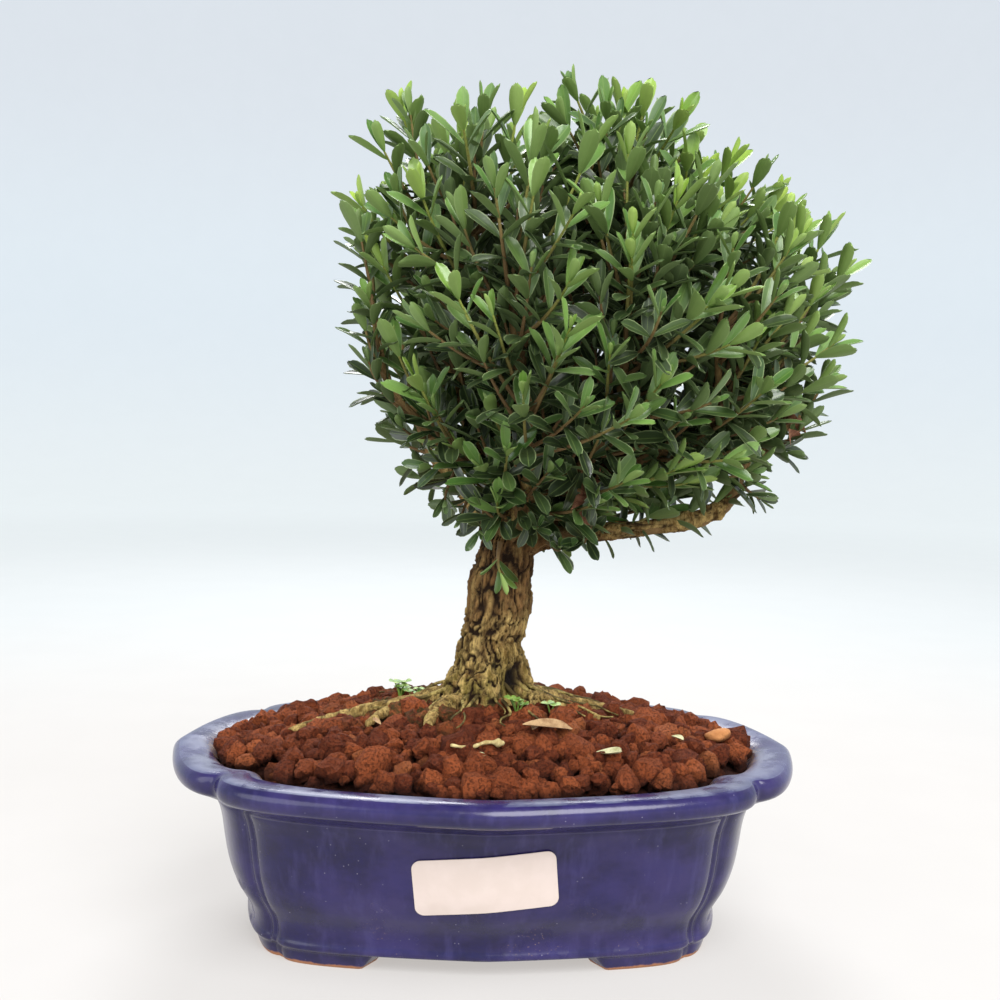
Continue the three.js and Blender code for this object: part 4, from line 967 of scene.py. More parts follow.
# Foliage: shoots with opposite pairs of notched leaves, each pair turned a quarter from the last
crown = {
    "centre": (42, -1, 237), "root": (14, 1, 165), "depth": 70,
    # reach in the front view at every 22.5 degrees from +X up
    "reach": [86, 83, 66, 70, 79, 70, 100, 97, 86, 84, 87, 90, 82, 80, 84, 85],
    "trunkClear": 15, "seed": 77,
    # where the pieces of foliage are parted
    "leftEnd": 12, "rightStart": 72,
    # number of shoots tried, share of the crown's reach, spread of that share, freshness
    "shells": [(200, 0.93, 0.045, 0.9), (130, 0.77, 0.06, 0.35), (90, 0.57, 0.1, 0.0)],
    # a CAD spray: how deep its shoot starts in the wood, how far its last leaves pass the twig, freshness
    "startDepth": 3, "overhang": 13.5, "sprayFresh": 0.95,
    "closest": 7.2, "scatter": 4, "trunkMiddle": (5, 4),
    # choosing a seat on the branches: usual length of a shoot, costs of turning away from outward and down
    "shootReach": 36, "downPenalty": 14, "turnPenalty": 40,
    # shoots that hang low, stand apart or clothe a bare branch: start, tip, freshness, size
    "strays": [
        ((-38, -10, 205), (-48, -14, 228), 0.7, 1), ((-34, -10, 200), (-46, -16, 214), 0.4, 0.9),
        ((-28, -9, 193), (-41, -16, 203), 0.3, 0.85), ((-22, -9, 188), (-33, -18, 190), 0.3, 0.8),
        ((-12, -7, 181), (-24, -16, 176), 0.4, 0.8), ((-10, -6, 179), (-17, -17, 164), 0.3, 0.75),
        ((-4, -4, 175), (-11, -15, 158), 0.2, 0.7), ((2, 0, 166), (-4, -14, 152), 0.3, 0.7),
        ((-42, -10, 216), (-46, -20, 236), 0.6, 0.95), ((-18, -8, 186), (-25, -24, 200), 0.5, 0.9),
        ((-43, -10, 222), (-50, -14, 261), 0.8, 1), ((-43, -9, 222), (-47, 2, 262), 0.7, 1),
        ((-22, 6, 250), (-50, -4, 272), 0.9, 1), ((-20, 8, 262), (-42, -6, 292), 0.95, 1),
        ((-20, 8, 268), (-36, 0, 308), 0.9, 1), ((4, -8, 148), (4, -13, 137), 0.9, 0.78),
        ((6, -6, 158), (2, -24, 164), 0.9, 0.9), ((14, -6, 158), (17, -22, 155), 0.3, 0.75),
        ((20, -3, 150), (26, -16, 147), 0.3, 0.75), ((38, -4, 152), (34, -16, 150), 0.2, 0.7),
        ((8, -6, 156), (-4, -20, 162), 0.4, 0.8), ((94, -4, 174), (103, -6, 166), 0.1, 0.62),
        ((98, -3, 188), (112, -7, 184), 0.2, 0.85), ((103, -2, 183), (119, -5, 194), 0.3, 0.9),
        ((117, 2, 196), (128, 0, 212), 0.5, 0.9), ((108, 2, 232), (124, -5, 242), 0.5, 1),
        ((106, 0, 226), (131, -7, 252), 0.95, 1), ((110, 2, 246), (124, -2, 264), 1, 1),
        ((88, -5, 163), (96, -16, 173), 0.3, 0.85), ((46, 8, 282), (54, -8, 311), 0.95, 1),
        ((84, 4, 258), (103, -8, 277), 1, 1), ((74, 6, 268), (86, -6, 290), 0.95, 0.95),
        ((-8, 16, 164), (-14, 30, 158), 0.2, 0.9), ((-15, 20, 172), (-28, 34, 170), 0.3, 0.9),
        ((-22, 24, 180), (-38, 32, 186), 0.4, 0.95), ((-28, 27, 192), (-38, 44, 196), 0.4, 1),
        ((-32, 30, 202), (-46, 38, 214), 0.6, 1), ((-34, 31, 215), (-36, 48, 226), 0.5, 1),
        ((-36, 32, 228), (-46, 38, 244), 0.8, 1), ((-20, 23, 178), (-16, 42, 186), 0.3, 0.95),
    ],
}
leaf = {
    "rows": [0, 0.14, 0.36, 0.6, 0.8, 0.93, 1], "columns": [-1, -0.5, 0, 0.5, 1],
    "outline": (0.66, 0.97, 3.2, 0.55), "thickness": 0.36, "fold": 0.3, "notch": 0.03, "crisp": 0.9,
    # for each pair from the tip down: distance from the tip, length, lean from the twig, droop, growth
    "pairs": [
        (0.2, 12.5, 0.26, -0.05, 1.0), (2.9, 15.6, 0.47, 0.0, 0.8), (8.2, 17.4, 0.68, 0.06, 0.5),
        (14.6, 17.8, 0.85, 0.1, 0.3), (21, 17, 0.98, 0.14, 0.16), (27.8, 16, 1.06, 0.17, 0.06),
        (34.8, 14.6, 1.12, 0.19, 0),
    ],
    "widthShare": 0.315,
    # how leaves vary: size of a shoot's, of one leaf's, of the tip pair's, width, then spreads of the angles
    "vigour": (0.86, 1.1), "sizes": (0.84, 1.1), "tipSizes": (0.45, 1.1), "widths": (0.92, 1.14),
    "turnSpread": 0.3, "angleSpread": 0.12, "leanSpread": 0.09, "rollSpread": 0.14, "droopSpread": 0.035,
    # share of each pair's leaves that has fallen: the first pair's, and more for each pair down
    "fallen": (0.03, 0.03), "bareShare": 0.1,
    # twig under the leaves: radius at its base and how much of it is lost at the tip
    "twigSteps": 14, "twigSides": 6, "twigRadius": 0.95, "twigTaper": 0.55, "twigSag": 0.14,
    "twigBend": 1.5,
}


def crownPoint(around, side, share):
    # Crown's surface in a direction: reach · sqrt(1 - side²) seen from the front, depth · side to the back
    reach = np.array(crown["reach"], float)
    turn = (around / (2 * np.pi) * len(reach)) % len(reach)
    first = turn.astype(int)
    blend = (1 - np.cos(np.pi * (turn - first))) / 2
    out = (reach[first] * (1 - blend) + reach[(first + 1) % len(reach)] * blend) * np.sqrt(1 - side ** 2)
    local = np.stack([out * np.cos(around), crown["depth"] * side, out * np.sin(around)], -1)
    return np.array(crown["centre"]) + local * share[:, None]


def sprayEnds(node):
    # Base and twig tip of a CAD spray: its long axis, from the thin end on, less the last leaves' overhang
    points = nodePoints(node)
    middle, axis = points.mean(0), longAxis(points)
    along = (points - middle) @ axis
    away = np.linalg.norm(points - middle - along[:, None] * axis, axis=1)
    span = np.ptp(along)
    if away[along < along.min() + 0.2 * span].mean() > away[along > along.max() - 0.2 * span].mean():
        axis, along = -axis, -along
    base = points[along < along.min() + 1.5].mean(0)
    return base, base + axis * (span - crown["overhang"])


def bestSeats(tips):
    # For each tip the branch place that a shoot of the usual length would reach along the outward direction
    centres = np.vstack([limbCurve(branch, len(branch) * 3)[0][2:] for branch in wood["branches"]])
    outward = unit(tips - np.array(crown["root"]))
    way = tips[:, None] - centres[None]
    length = np.linalg.norm(way, axis=-1)
    way = unit(way)
    turned = 1 - dot(way, outward[:, None])[..., 0]
    down = -np.minimum(way[..., 2], 0)
    cost = np.abs(length - crown["shootReach"]) + crown["turnPenalty"] * turned + crown["downPenalty"] * down
    return centres[np.argmin(cost, axis=1)]


def plannedShoots():
    # All shoots as arrays: start, tip, freshness, size and the CAD spray they stand for, or -1
    sprays = sorted(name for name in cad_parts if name.startswith("spray_"))
    ends = np.array([sprayEnds(name) for name in sprays])
    start, tip = ends[:, 0], ends[:, 1]
    start = start - unit(tip - start) * crown["startDepth"]
    fresh = np.full(len(sprays), crown["sprayFresh"])
    draw = np.random.default_rng(crown["seed"])
    goldenAngle = np.pi * (3 - np.sqrt(5))
    tips, freshness = [], []
    for count, share, spread, freshShare in crown["shells"]:
        k = np.arange(count)
        side = 1 - 2 * (k + 0.5) / count
        found = crownPoint(k * goldenAngle + 0.7 + share, side, share + spread * draw.normal(size=count))
        found = found + crown["scatter"] * draw.uniform(-1, 1, found.shape)
        trunkAway = np.hypot(*(found[:, :2] - crown["trunkMiddle"]).T)
        clear = (found[:, 2] > crown["centre"][2]) | (trunkAway > crown["trunkClear"])
        tips.append(found[clear])
        freshness.append(np.full(clear.sum(), freshShare))
    tips, freshness = np.vstack(tips), np.concatenate(freshness)
    crowded = np.linalg.norm(tips[:, None] - tip[None], axis=-1).min(1) < crown["closest"]
    tips, freshness = tips[~crowded], freshness[~crowded]
    strayStart, strayTip, strayFresh, straySize = (np.array(value, float) for value in zip(*crown["strays"]))
    start = np.vstack([start, bestSeats(tips), strayStart])
    size = np.append(np.ones(len(fresh) + len(tips)), straySize)
    tip = np.vstack([tip, tips, strayTip])
    fresh = np.concatenate([fresh, freshness, strayFresh])
    # fresher by chance and towards the top
    fresh = fresh * (0.3 + 0.7 * draw.random(len(fresh))) * (0.75 + 0.45 * smoothStep(210, 300, tip[:, 2]))
    owner = np.append(np.arange(len(sprays)), np.full(len(tip) - len(sprays), -1))
    return sprays, start, tip, fresh, size, owner


def leafBlades(base, along, up, length, width, droop, form):
    # Closed blades on a grid of s along and c across: the half width goes as s^a (1 - b s^n)^m, the sides
    # rise by fold · |c|, the length bends down by droop · s², and the tip's middle is drawn in by notch.
    # The lower face lies thickness · (1 - 0.4 c²) under the upper one and shares its border
    s, c = np.meshgrid(form["rows"], form["columns"], indexing="ij")
    rise, blunt, power, fall = form["outline"]
    half = s ** rise * (1 - blunt * s ** power) ** fall
    half = np.maximum(0.1, half / half.max()) / 2
    tip = s ** 8
    reach = s - tip * (0.05 * c ** 4 + form["notch"] * np.maximum(0, 1 - 2 * np.abs(c)))
    across = np.cross(up, along)

    def spread(vector, amount):  # copies × grid × 3
        return vector[:, None, None] * amount[..., None]

    size, wide = length[:, None, None], width[:, None, None]
    lift = form["fold"] * np.abs(c) * half * wide - droop[:, None, None] * size * s ** 2
    upper = spread(along, reach * size) + spread(across, c * half * wide) + spread(up, lift)
    upper = upper + base[:, None, None]
    thick = form["thickness"] * (1 - 0.4 * c ** 2)[1:-1, 1:-1] + 0 * size
    lower = upper[:, 1:-1, 1:-1] - spread(up, thick)
    count, rows, columns = upper.shape[:3]
    points = np.concatenate([upper.reshape(count, -1, 3), lower.reshape(count, -1, 3)], 1)
    top = np.arange(rows * columns).reshape(rows, columns)
    bottom = top.copy()
    bottom[1:-1, 1:-1] = rows * columns + np.arange((rows - 2) * (columns - 2)).reshape(rows - 2, columns - 2)

    def facesOf(grid):  # quads of a grid of point numbers
        return np.stack([grid[:-1, :-1], grid[1:, :-1], grid[1:, 1:], grid[:-1, 1:]], -1).reshape(-1, 4)

    upperFaces = facesOf(top)
    lowerFaces = facesOf(bottom)[:, [0, 3, 2, 1]]
    faces = repeated(np.vstack([upperFaces, lowerFaces]), count, points.shape[1])
    acrossShare = np.concatenate([c.ravel(), c[1:-1, 1:-1].ravel()])
    under = np.repeat([0, 1], len(upperFaces))
    return points, faces, acrossShare, under


def leafMaterial():
    green = Shade("boxLeaf", Specular_IOR_Level=0.62)
    across = green.math("ABSOLUTE", green.attribute("across"), 0)
    young, chance, under = (green.attribute(name) for name in ("young", "chance", "under"))
    old = green.mix(chance, colour("1c2716"), colour("3b4a2a"))
    old = green.tint(old, green.noise(6, 3), 0.4, 0.7, 0.35, "46563a")
    middle = green.mix(chance, colour("4b7030"), colour("779a4c"))
    fresh = green.mix(chance, colour("86aa3a"), colour("aec456"))
    body = green.mix(green.between(young, 0.02, 0.38), old, middle)
    body = green.mix(green.between(young, 0.4, 0.85), body, fresh)
    # pale midrib and margin
    body = green.tint(body, across, 0.09, 0.01, 0.35, "8fa65c")
    body = green.tint(body, across, 0.8, 0.98, 0.6, "a3b47e")
    pale = green.mix(young, colour("586c3c"), colour("93ad4e"))
    body = green.mix(green.times(under, 0.7), body, pale)
    rough = green.plus(green.between(under, 0, 1, 0.27, 0.55), green.times(chance, 0.12))
    veins = green.bump(green.noise(1.6, 1), 0.16, 0.5)
    return green.finish(Base_Color=body, Roughness=rough, Normal=veins)


def twigMaterial():
    stem = Shade("greenTwig", Specular_IOR_Level=0.3)
    body = stem.blend(stem.attribute("young"), 0.15, 0.75, "6f5736", "7f8a3c")
    body = stem.tint(body, stem.noise(1, 4), 0.5, 0.7, 0.5, "5a452a")
    return stem.finish(Base_Color=body, Roughness=0.7, Normal=stem.bump(stem.noise(0.6, 3), 0.2))


def makeFoliage(leafLook, twigLook):
    sprays, start, tip, fresh, shootSize, owner = plannedShoots()
    draw = np.random.default_rng(crown["seed"] + 1)
    count = len(tip)
    length = np.linalg.norm(tip - start, axis=1)
    sag = leaf["twigSag"] * length
    bend = draw.normal(size=(count, 3)) * leaf["twigBend"]
    control = (start + tip) / 2 - [0, 0, 1] * sag[:, None] + bend

    def twigAt(t):  # curve (1-t)² S + 2t(1-t) C + t² T and its direction, for t of shape (shoots, places)
        t = t[..., None]
        place = (1 - t) ** 2 * start[:, None] + 2 * t * (1 - t) * control[:, None] + t ** 2 * tip[:, None]
        way = 2 * (1 - t) * (control - start)[:, None] + 2 * t * (tip - control)[:, None]
        return place, unit(way)

    steps, sides = leaf["twigSteps"], leaf["twigSides"]
    shares = np.broadcast_to(np.linspace(0, 1, steps), (count, steps))
    twigs, _, _ = tubes(twigAt(shares)[0], leaf["twigRadius"] - leaf["twigTaper"] * shares, sides)
    twigs = twigs.reshape(count, -1, 3)
    twigYoung = np.append(np.repeat(shares[0], sides), [0, 1]) * fresh[:, None]

    # where each leaf sits, which way it points and how large and young it is, as arrays of shoots × pairs × 2
    distance, size, lean, droop, growth = np.array(leaf["pairs"]).T
    pairs = len(distance)
    vigour = draw.uniform(*leaf["vigour"], count) * shootSize
    t = 1 - distance * vigour[:, None] / length[:, None]
    place, way = twigAt(t)
    # the first pair stands halfway between the crown's round and the way out of it
    outward = (tip - crown["root"])[:, None] * [1, 1, 0.3]
    normals = unit(np.cross(way, outward))
    sideways = np.cross(way, normals)
    turn = np.pi / 4 + draw.normal(size=(count, 1, 1)) * leaf["turnSpread"]
    angle = turn + (np.arange(pairs) * np.pi / 2)[:, None] + np.array([0, np.pi])
    angle = angle + draw.normal(size=angle.shape) * leaf["angleSpread"]
    out = normals[:, :, None] * np.cos(angle)[..., None] + sideways[:, :, None] * np.sin(angle)[..., None]
    shape = angle.shape
    leanNow = lean[:, None] + draw.normal(size=shape) * leaf["leanSpread"] + (1 - fresh)[:, None, None] * 0.1
    cosine, sine = np.cos(leanNow)[..., None], np.sin(leanNow)[..., None]
    along = unit(way[:, :, None] * cosine + out * sine + [0, 0, 0.08])
    up = way[:, :, None] * sine - out * cosine + [0, 0, 0.3]
    up = squareTo(along, up + draw.normal(size=up.shape) * leaf["rollSpread"])
    sizeNow = size[:, None] * vigour[:, None, None] * draw.uniform(*leaf["sizes"], shape)
    sizeNow[:, 0] *= draw.uniform(*leaf["tipSizes"], (count, 1))
    widthNow = sizeNow * leaf["widthShare"] * draw.uniform(*leaf["widths"], shape)
    droopNow = droop[:, None] + draw.normal(size=shape) * leaf["droopSpread"]
    youngNow = growth[:, None] * fresh[:, None, None] * draw.uniform(0.7, 1.1, shape)
    # leaves near the twig's base and a few others have fallen
    fallenFirst, fallenMore = leaf["fallen"]
    fallen = draw.random(shape) <= fallenFirst + fallenMore * np.arange(pairs)[:, None]
    kept = (t[..., None] > leaf["bareShare"]) & ~fallen
    base = np.broadcast_to(place[:, :, None], along.shape)
    shootOf = np.broadcast_to(np.arange(count)[:, None, None], shape)[kept]
    chance = draw.random(shape)[kept]
    young = youngNow[kept]
    points, faces, across, under = leafBlades(
        base[kept], along[kept], up[kept], sizeNow[kept], widthNow[kept], droopNow[kept], leaf)
    print("leaves:", len(chance), "shoots:", count)

    # six pieces by where the shoots end: left, middle or right of the crown, in front or behind
    x, y, _ = tip.T
    part = 1 * (x > crown["leftEnd"]) + (x > crown["rightStart"]) + 3 * (y > 0)
    names = [f"foliage_{depth}_{side}" for depth in ("front", "back") for side in ("left", "middle", "right")]
    perLeaf, perTwig = points.shape[1], twigs.shape[1]
    for k, name in enumerate(names):
        shoots = np.flatnonzero(part == k)
        leaves = np.flatnonzero(part[shootOf] == k)
        quads = repeated(faces[:len(under)], len(leaves), perLeaf)
        offset = len(leaves) * perLeaf
        stemQuads = repeated(gridQuads(steps, sides), len(shoots), perTwig) + offset
        stemFans = repeated(capFans(steps, sides), len(shoots), perTwig) + offset
        leafAndStem = np.vstack([points[leaves].reshape(-1, 3), twigs[shoots].reshape(-1, 3)])
        piece = addPiece(name, leafAndStem, np.vstack([quads, stemQuads]), stemFans, leaf["crisp"])
        blank = np.zeros(len(shoots) * perTwig)
        setValues(
            piece,
            across=np.append(np.tile(across, len(leaves)), blank),
            young=np.append(np.repeat(young[leaves], perLeaf), twigYoung[shoots].ravel()),
            chance=np.append(np.repeat(chance[leaves], perLeaf), blank),
        )
        plain = np.zeros(len(stemQuads) + len(stemFans))
        setValues(piece, "FACE", under=np.append(np.tile(under, len(leaves)), plain))
        looks = np.append(np.zeros(len(quads)), plain + 1).astype(np.int32)
        piece.data.polygons.foreach_set("material_index", looks)
        nodes = [sprays[owner[shoot]] for shoot in shoots if owner[shoot] >= 0]
        dress(piece, [leafLook, twigLook], nodes)


# Label: a blank paper sticker that lies on the front wall and bends over its middle ridge
label = {
    "length": 49, "height": 20.5, "corner": 3.2, "thickness": 0.42, "lift": 0.3,
    "centreX": -0.8, "centreZ": 37, "turn": 0.096,
    "steps": 12, "longSteps": 13, "rings": [0.02, 0.2, 0.4, 0.6, 0.8, 0.94, 1],
}


def wallFront(x, z):
    # y of the front wall's face: -(width - (width - cornerY) · fall(|x| / cornerX)) at that height
    height, inset = throughPoints(pot["outside"], np.linspace(0, 1, 200)).T
    inset = np.interp(z, height, inset)
    width = pot["halfWidth"] - inset * pot["widthRatio"]
    cornerX = pot["cornerX"] - inset * pot["cornerRatioX"]
    cornerY = pot["cornerY"] - inset * pot["cornerRatioY"]
    return -(width - (width - cornerY) * lobeFall(np.abs(x) / cornerX))


def paperMaterial():
    paper = Shade("blankPaper", Specular_IOR_Level=0.35)
    body = paper.blend(paper.noise(9, 3), 0.35, 0.65, "d9c8be", "decdc4")
    body = paper.tint(body, paper.noise(0.5, 4, 0.8), 0.6, 0.8, 0.25, "cdbbb0")
    fibres = paper.bump(paper.noise(1.1, 4, 0.7), 0.05, 0.4)
    return paper.finish(Base_Color=body, Roughness=0.42, Normal=fibres)


def makeLabel(material):
    # Rings of a rounded rectangle shrink to the middle of both faces: corner arcs of radius r round points at
    # (±(length/2 - r), ±(height/2 - r)), turned a little and laid on the wall
    steps = label["steps"]
    angle = (np.linspace(0, np.pi / 2, steps) + np.arange(4)[:, None] * np.pi / 2).ravel()
    signs = np.repeat([[1, 1], [-1, 1], [-1, -1], [1, -1]], steps, axis=0)
    arc = label["corner"] * np.stack([np.cos(angle), np.sin(angle)], -1)
    edge = arc + signs * (np.array([label["length"], label["height"]]) / 2 - label["corner"])
    share = np.linspace(0, 1, label["longSteps"])[1:-1, None]
    top, low = (edge[k - 1] + (edge[k] - edge[k - 1]) * share for k in (steps, 3 * steps))
    edge = np.vstack([edge[:steps], top, edge[steps:3 * steps], low, edge[3 * steps:]])
    shares = np.array(label["rings"] + label["rings"][::-1])
    plan = np.concatenate([(edge * shares[:, None, None]).reshape(-1, 2), np.zeros((2, 2))])
    faces = np.repeat([0, label["thickness"]], len(label["rings"]))
    over = label["lift"] + np.append(np.repeat(faces, len(edge)), [0, label["thickness"]])
    cosine, sine = np.cos(label["turn"]), np.sin(label["turn"])
    x = label["centreX"] + plan[:, 0] * cosine - plan[:, 1] * sine
    z = label["centreZ"] + plan[:, 0] * sine + plan[:, 1] * cosine
    points = np.stack([x, wallFront(x, z) - over, z], -1)
    piece = addGrid("blank_label", points, len(shares), len(edge), 0.9)
    dress(piece, [material], ["label"])


# Weeds: tufts of thin stems with three round leaflets each
weeds = {
    "places": {"weed_left": 7, "weed_front": 6}, "extra": [(-27, 6, 3), (24, -14, 2)],
    "stemRadius": 0.3, "stemSteps": 6, "spread": 3.2, "height": 5.5, "seed": 5,
    "leaflet": {
        "rows": [0, 0.2, 0.5, 0.8, 1], "columns": [-1, -0.5, 0, 0.5, 1], "outline": (0.6, 0.9, 4, 0.5),
        "thickness": 0.2, "fold": 0.1, "notch": 0.1,
    },
    "leafletLength": 2.5, "leafletTurns": [0, 2.1, 4.2],
}


def weedMaterial():
    green = Shade("cloverGreen", Specular_IOR_Level=0.4)
    body = green.blend(green.noise(2, 3), 0.35, 0.65, "5d8230", "8ba548")
    # painted highlights: pale flecks by a fine noise
    body = green.tint(body, green.noise(0.6, 3), 0.55, 0.75, 0.5, "a9bd72")
    return green.finish(Base_Color=body, Roughness=0.5, Normal=green.bump(green.noise(0.5, 3), 0.08))


def weedTuft(base, height, stems, draw):
    # Curved stems from one root: x and y go out with t², z with t; three blades lean out from each stem's end
    t = np.linspace(0, 1, weeds["stemSteps"])
    facing = np.arange(stems) * wood["goldenTurn"] + draw.uniform(0, 1)
    out = weeds["spread"] * draw.uniform(0.3, 1, stems)
    level = height * draw.uniform(0.55, 1, stems)
    way = np.stack([np.cos(facing) * out, np.sin(facing) * out], -1)
    rise = level[:, None] * t - 2 * (1 - t)
    line = np.concatenate([way[:, None] * t[:, None] ** 2, rise[..., None]], -1) + base
    points, quads, fans = tubes(line, np.full(rise.shape, weeds["stemRadius"]), 6)
    turn = np.repeat(facing, 3) + np.tile(weeds["leafletTurns"], stems)
    along = unit(np.stack([np.cos(turn), np.sin(turn), draw.uniform(0.1, 0.6, turn.shape)], -1))
    up = squareTo(along, [0, -0.25, 1])
    length = weeds["leafletLength"] * draw.uniform(0.8, 1.15, len(turn))
    ends = np.repeat(line[:, -1], 3, 0)
    blades, faces, *_ = leafBlades(ends, along, up, length, length, 0.15 + 0 * length, weeds["leaflet"])
    return np.vstack([points, blades.reshape(-1, 3)]), np.vstack([quads, faces + len(points)]), fans


def makeWeeds(material):
    draw = np.random.default_rng(weeds["seed"])
    tufts = []
    for node, stems in weeds["places"].items():
        low, high = nodeBox(node)
        base = onSoil(*(low[:2] + high[:2]) / 2)
        tufts.append((node, base, high[2] - base[2], stems))
    for k, (x, y, stems) in enumerate(weeds["extra"]):
        tufts.append((f"weed_extra_{k + 1}", onSoil(x, y), weeds["height"], stems))
    for name, base, height, stems in tufts:
        piece = addPiece("tuft_" + name, *weedTuft(base, height, stems, draw), 0.9)
        dress(piece, [material], [name] if name in weeds["places"] else [])


# Litter on the soil and dead leaves caught in the branches
litter = {
    "blade": {
        "rows": [0, 0.08, 0.2, 0.35, 0.5, 0.65, 0.8, 0.92, 1], "columns": [-1, -0.6, -0.2, 0.2, 0.6, 1],
        "outline": (0.7, 0.99, 2.4, 0.7), "thickness": 0.35, "fold": 0.5, "notch": 0.02,
    },
    # leaves that stand for nodes, small ones with centre, turn and length; then width share, droop, slot
    "leaves": [
        ("fallen_leaf_brown", None, 0.34, 0.1, "dry_leaf"),
        ("fallen_leaf_pale", None, 0.5, -0.5, "pale_leaf"),
        ("pale_flake", ((17, -36), 1.1, 6), 0.6, -0.4, "dry_leaf"),
        ("yellow_flake", ((70, -26), -1, 6.5), 0.4, 0.3, "pale_leaf"),
        ("green_flake", ((-3, -54), 0.6, 5), 0.55, 0.2, "pale_leaf"),
        ("small_flake", ((-40, -30), 2.2, 5), 0.4, -0.3, "dry_leaf"),
    ],
    "twigSteps": 40, "lift": 1.5, "flakeLift": 4.4,
    # the twig's radius at its left end and its growth to the right, and a knob: height, place, width
    "twigRadius": 0.55, "twigGrowth": 0.25, "knob": (0.9, 0.9, 0.06),
    # dead leaves: where on the branches they hang, and how many
    "dead": [
        ((46, -18, 177), 7), ((36, -17, 173), 5), ((31, -12, 186), 3), ((112, -2, 196), 3),
        ((27, -14, 206), 2),
    ],
    "deadLength": 14, "deadWidthShare": 0.42, "deadFold": 0.9, "deadSpread": 3.5, "deadSeed": 12,
}


def dryMaterial(name, dark, light, vein):
    dry = Shade(name, Specular_IOR_Level=0.25)
    body = dry.blend(dry.noise(3, 5, 0.7), 0.35, 0.65, dark, light)
    body = dry.tint(body, dry.noise(0.8, 4, 0.8), 0.55, 0.7, 0.6, vein)
    return dry.finish(Base_Color=body, Roughness=0.75, Normal=dry.bump(dry.noise(0.8, 5, 0.7), 0.35, 0.8))


def nodeEnds(node):  # middle of a node and half its longest axis
    points = nodePoints(node)
    middle = (points.min(0) + points.max(0)) / 2
    axis = longAxis(points)
    axis = axis * np.sign(axis[0])
    return middle, axis * np.ptp((points - middle) @ axis) / 2


def makeLitter(materials, deadLook):
    raised = np.array([0, 0, litter["lift"]])
    for name, place, widthShare, droop, slot in litter["leaves"]:
        if place is None:
            middle, half = nodeEnds(name)
            middle = middle + raised
        else:
            (x, y), turn, length = place
            middle = onSoil(x, y, litter["flakeLift"])
            half = np.array([np.cos(turn), np.sin(turn), 0.15]) * length / 2
        length = np.array([2 * np.linalg.norm(half)])
        along = unit(half[None])
        up = squareTo(along, [0, -0.3, 1])
        bend = np.array([droop * 0.5])
        blade, faces, *_ = leafBlades(
            (middle - half)[None], along, up, length, length * widthShare, bend, litter["blade"])
        piece = addPiece("lying_" + name, blade[0], faces, None, 0.9)
        dress(piece, [materials[slot]], [name] if place is None else [])

    # the twig: a curve through its ends and two bends, with a knob at the right end
    middle, half = nodeEnds("fallen_twig")
    middle = middle + raised
    nearBend, farBend = middle - half * 0.3 - [0, 1.6, 0.6], middle + half * 0.35 + [0, 0.8, 0.3]
    shares = np.linspace(0, 1, litter["twigSteps"])
    line = throughPoints([middle - half, nearBend, farBend, middle + half], shares)
    knob, knobAt, knobWidth = litter["knob"]
    radius = litter["twigRadius"] + litter["twigGrowth"] * shares
    radius = radius + knob * np.exp(-((shares - knobAt) / knobWidth) ** 2) + 0.1 * np.sin(shares * 31)
    piece = addPiece("lying_fallen_twig", *tubes(line[None], radius[None], 10))
    dress(piece, [materials["twig"]], ["fallen_twig"])

    # curled dead leaves round some branch places
    draw = np.random.default_rng(litter["deadSeed"])
    spread = litter["deadSpread"]
    base = np.concatenate([place + draw.normal(size=(count, 3)) * spread for place, count in litter["dead"]])
    along = unit(draw.normal(size=base.shape) * [0.8, 0.5, 0.6] - [0, 1.1, 0.5])
    up = squareTo(along, draw.normal(size=base.shape))
    length = litter["deadLength"] * draw.uniform(0.6, 1.1, len(base))
    droop = draw.uniform(-0.5, 0.7, len(base))
    form = {**litter["blade"], "fold": litter["deadFold"]}
    blades, faces, *_ = leafBlades(base, along, up, length, length * litter["deadWidthShare"], droop, form)
    piece = addPiece("dead_leaves", blades.reshape(-1, 3), faces, None, 0.9)
    dress(piece, [deadLook])


def netMaterial():
    net = Shade("blackNet", Specular_IOR_Level=0.4)
    body = net.mix(net.noise(1.5, 4), colour("141516"), colour("2a2b2d"))
    body = net.tint(body, net.noise(4, 4, 0.7), 0.5, 0.65, 0.6, "4a2a1c")
    return net.finish(Base_Color=body, Roughness=0.55, Normal=net.bump(net.noise(0.5, 3), 0.1))


def dressNets(material):
    for node in ("drain_net_left", "drain_net_right"):
        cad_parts[node].data.materials[0] = material


# Light, floor and backdrop
studio = {
    # place, width, power
    "lamps": {
        "key": ((380, -900, 1100), 1150, 28),
        "fill": ((-900, -700, 500), 900, 4),
        "back": ((0, 900, 1000), 700, 15),
    },
    "sky": "eef1f4", "skyStrength": 0.55,
    # a round floor that sweeps up into a wall
    "floorReach": 2400, "sweep": 700, "wallTop": 2600,
    # share of white paint, and the glow near the plant and far from it
    "paint": 0.24, "glow": (0.52, 0.735),
    "floor": "fdf7f1", "low": "f1f9fb", "middle": "e2eef7", "high": "dde5ee",
}


def addLamps():
    world = bpy.data.worlds.new("studio")
    world.use_nodes = True
    bpy.context.scene.world = world
    background = world.node_tree.nodes["Background"]
    background.inputs["Color"].default_value = colour(studio["sky"])
    background.inputs["Strength"].default_value = studio["skyStrength"]
    target = Vector(inFrame((0, 0, 150)))
    for name, (place, size, power) in studio["lamps"].items():
        lamp = bpy.data.lights.new(name, "AREA")
        lamp.shape = "DISK"
        lamp.size = size * millimetre
        lamp.energy = power
        made = bpy.data.objects.new(name, lamp)
        made.location = Vector(inFrame(place))
        made.rotation_euler = (target - made.location).to_track_quat("-Z", "Y").to_euler()
        bpy.context.collection.objects.link(made)
    bpy.context.scene.view_settings.view_transform = "Standard"


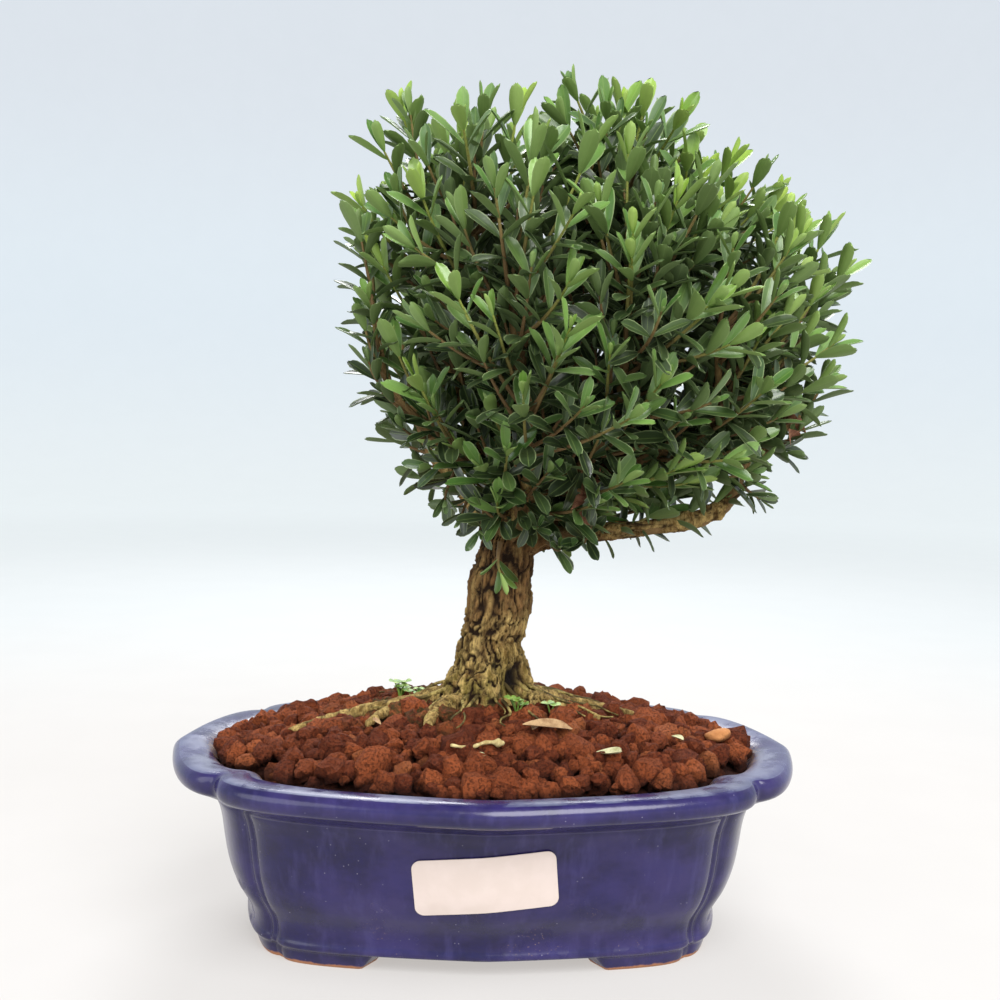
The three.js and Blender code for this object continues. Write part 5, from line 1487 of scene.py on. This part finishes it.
def backdropMaterial():
    # Thin white paint that takes soft shade, over a glow that pales from the wall's top down to the floor
    paint = Shade("paleBackdrop", Roughness=0.9, Specular_IOR_Level=0.1)
    height = paint.axis("Z")
    away = paint.node("ShaderNodeVectorMath", {0: paint.place}, operation="LENGTH").outputs["Value"]
    near, far = studio["glow"]
    strength = paint.between(away, 0.2, studio["floorReach"] * millimetre, near, far)
    rise = paint.plus(height, paint.times(away, 0.12))
    wall = paint.mix(paint.between(rise, 0.2, 0.9), colour(studio["low"]), colour(studio["middle"]))
    wall = paint.mix(paint.between(rise, 0.9, 1.6), wall, colour(studio["high"]))
    warm = paint.mix(paint.between(away, 0.25, 0.95), colour(studio["floor"]), wall)
    fibre = paint.between(paint.noise(60, 3), 0.3, 0.7, 1, 0.97)
    grey = (studio["paint"],) * 3
    white = paint.node("ShaderNodeVectorMath", {0: grey, "Scale": fibre}, operation="SCALE")
    return paint.finish(Base_Color=white.outputs["Vector"], Emission_Color=warm, Emission_Strength=strength)


def addBackdrop(material):
    # Surface of revolution: a flat disc, then a quarter circle up from its edge, then a straight wall
    bend = np.linspace(0, np.pi / 2, 16)
    flat = np.linspace(200, studio["floorReach"], 8)[:-1]
    sweepOut = studio["floorReach"] + studio["sweep"] * np.sin(bend)
    sweepUp = studio["sweep"] * (1 - np.cos(bend))
    out = np.concatenate([flat, sweepOut, sweepOut[-1:]])
    level = np.concatenate([0 * flat, sweepUp, [studio["wallTop"]]])
    sides = 96
    turn = np.arange(sides) * 2 * np.pi / sides
    rings = np.dstack([out[:, None] * np.cos(turn), out[:, None] * np.sin(turn), level[:, None] + 0 * turn])
    points = np.vstack([rings.reshape(-1, 3), [[0, 0, 0]]])
    hub = capFans(len(out), sides)[:sides]
    floor = addPiece("backdrop", points, gridQuads(len(out), sides), hub)
    floor.data.flip_normals()
    # the glow all around needs no aimed light samples, which saves a third of the render's time
    material.cycles.emission_sampling = "NONE"
    floor.data.materials.append(material)


addCamera()
addLamps()
addBackdrop(backdropMaterial())
makePot(glazeMaterial())
makeSoil(soilMaterial(), pebbleMaterial())
makeTrunk(barkMaterial())
makeBranches(branchMaterial())
makeStrands(strandMaterial())
makeFoliage(leafMaterial(), twigMaterial())
makeLabel(paperMaterial())
makeWeeds(weedMaterial())
litterLooks = {
    "dry_leaf": dryMaterial("dryLeaf", "8a6a4a", "b3936c", "5f4630"),
    "pale_leaf": dryMaterial("paleLeaf", "a09c6c", "c8c49c", "7a7448"),
    "twig": dryMaterial("dryTwig", "a08a58", "cdbd88", "7a6238"),
}
makeLitter(litterLooks, dryMaterial("deadLeaf", "6d4430", "a8765a", "4a2c1e"))
dressNets(netMaterial())
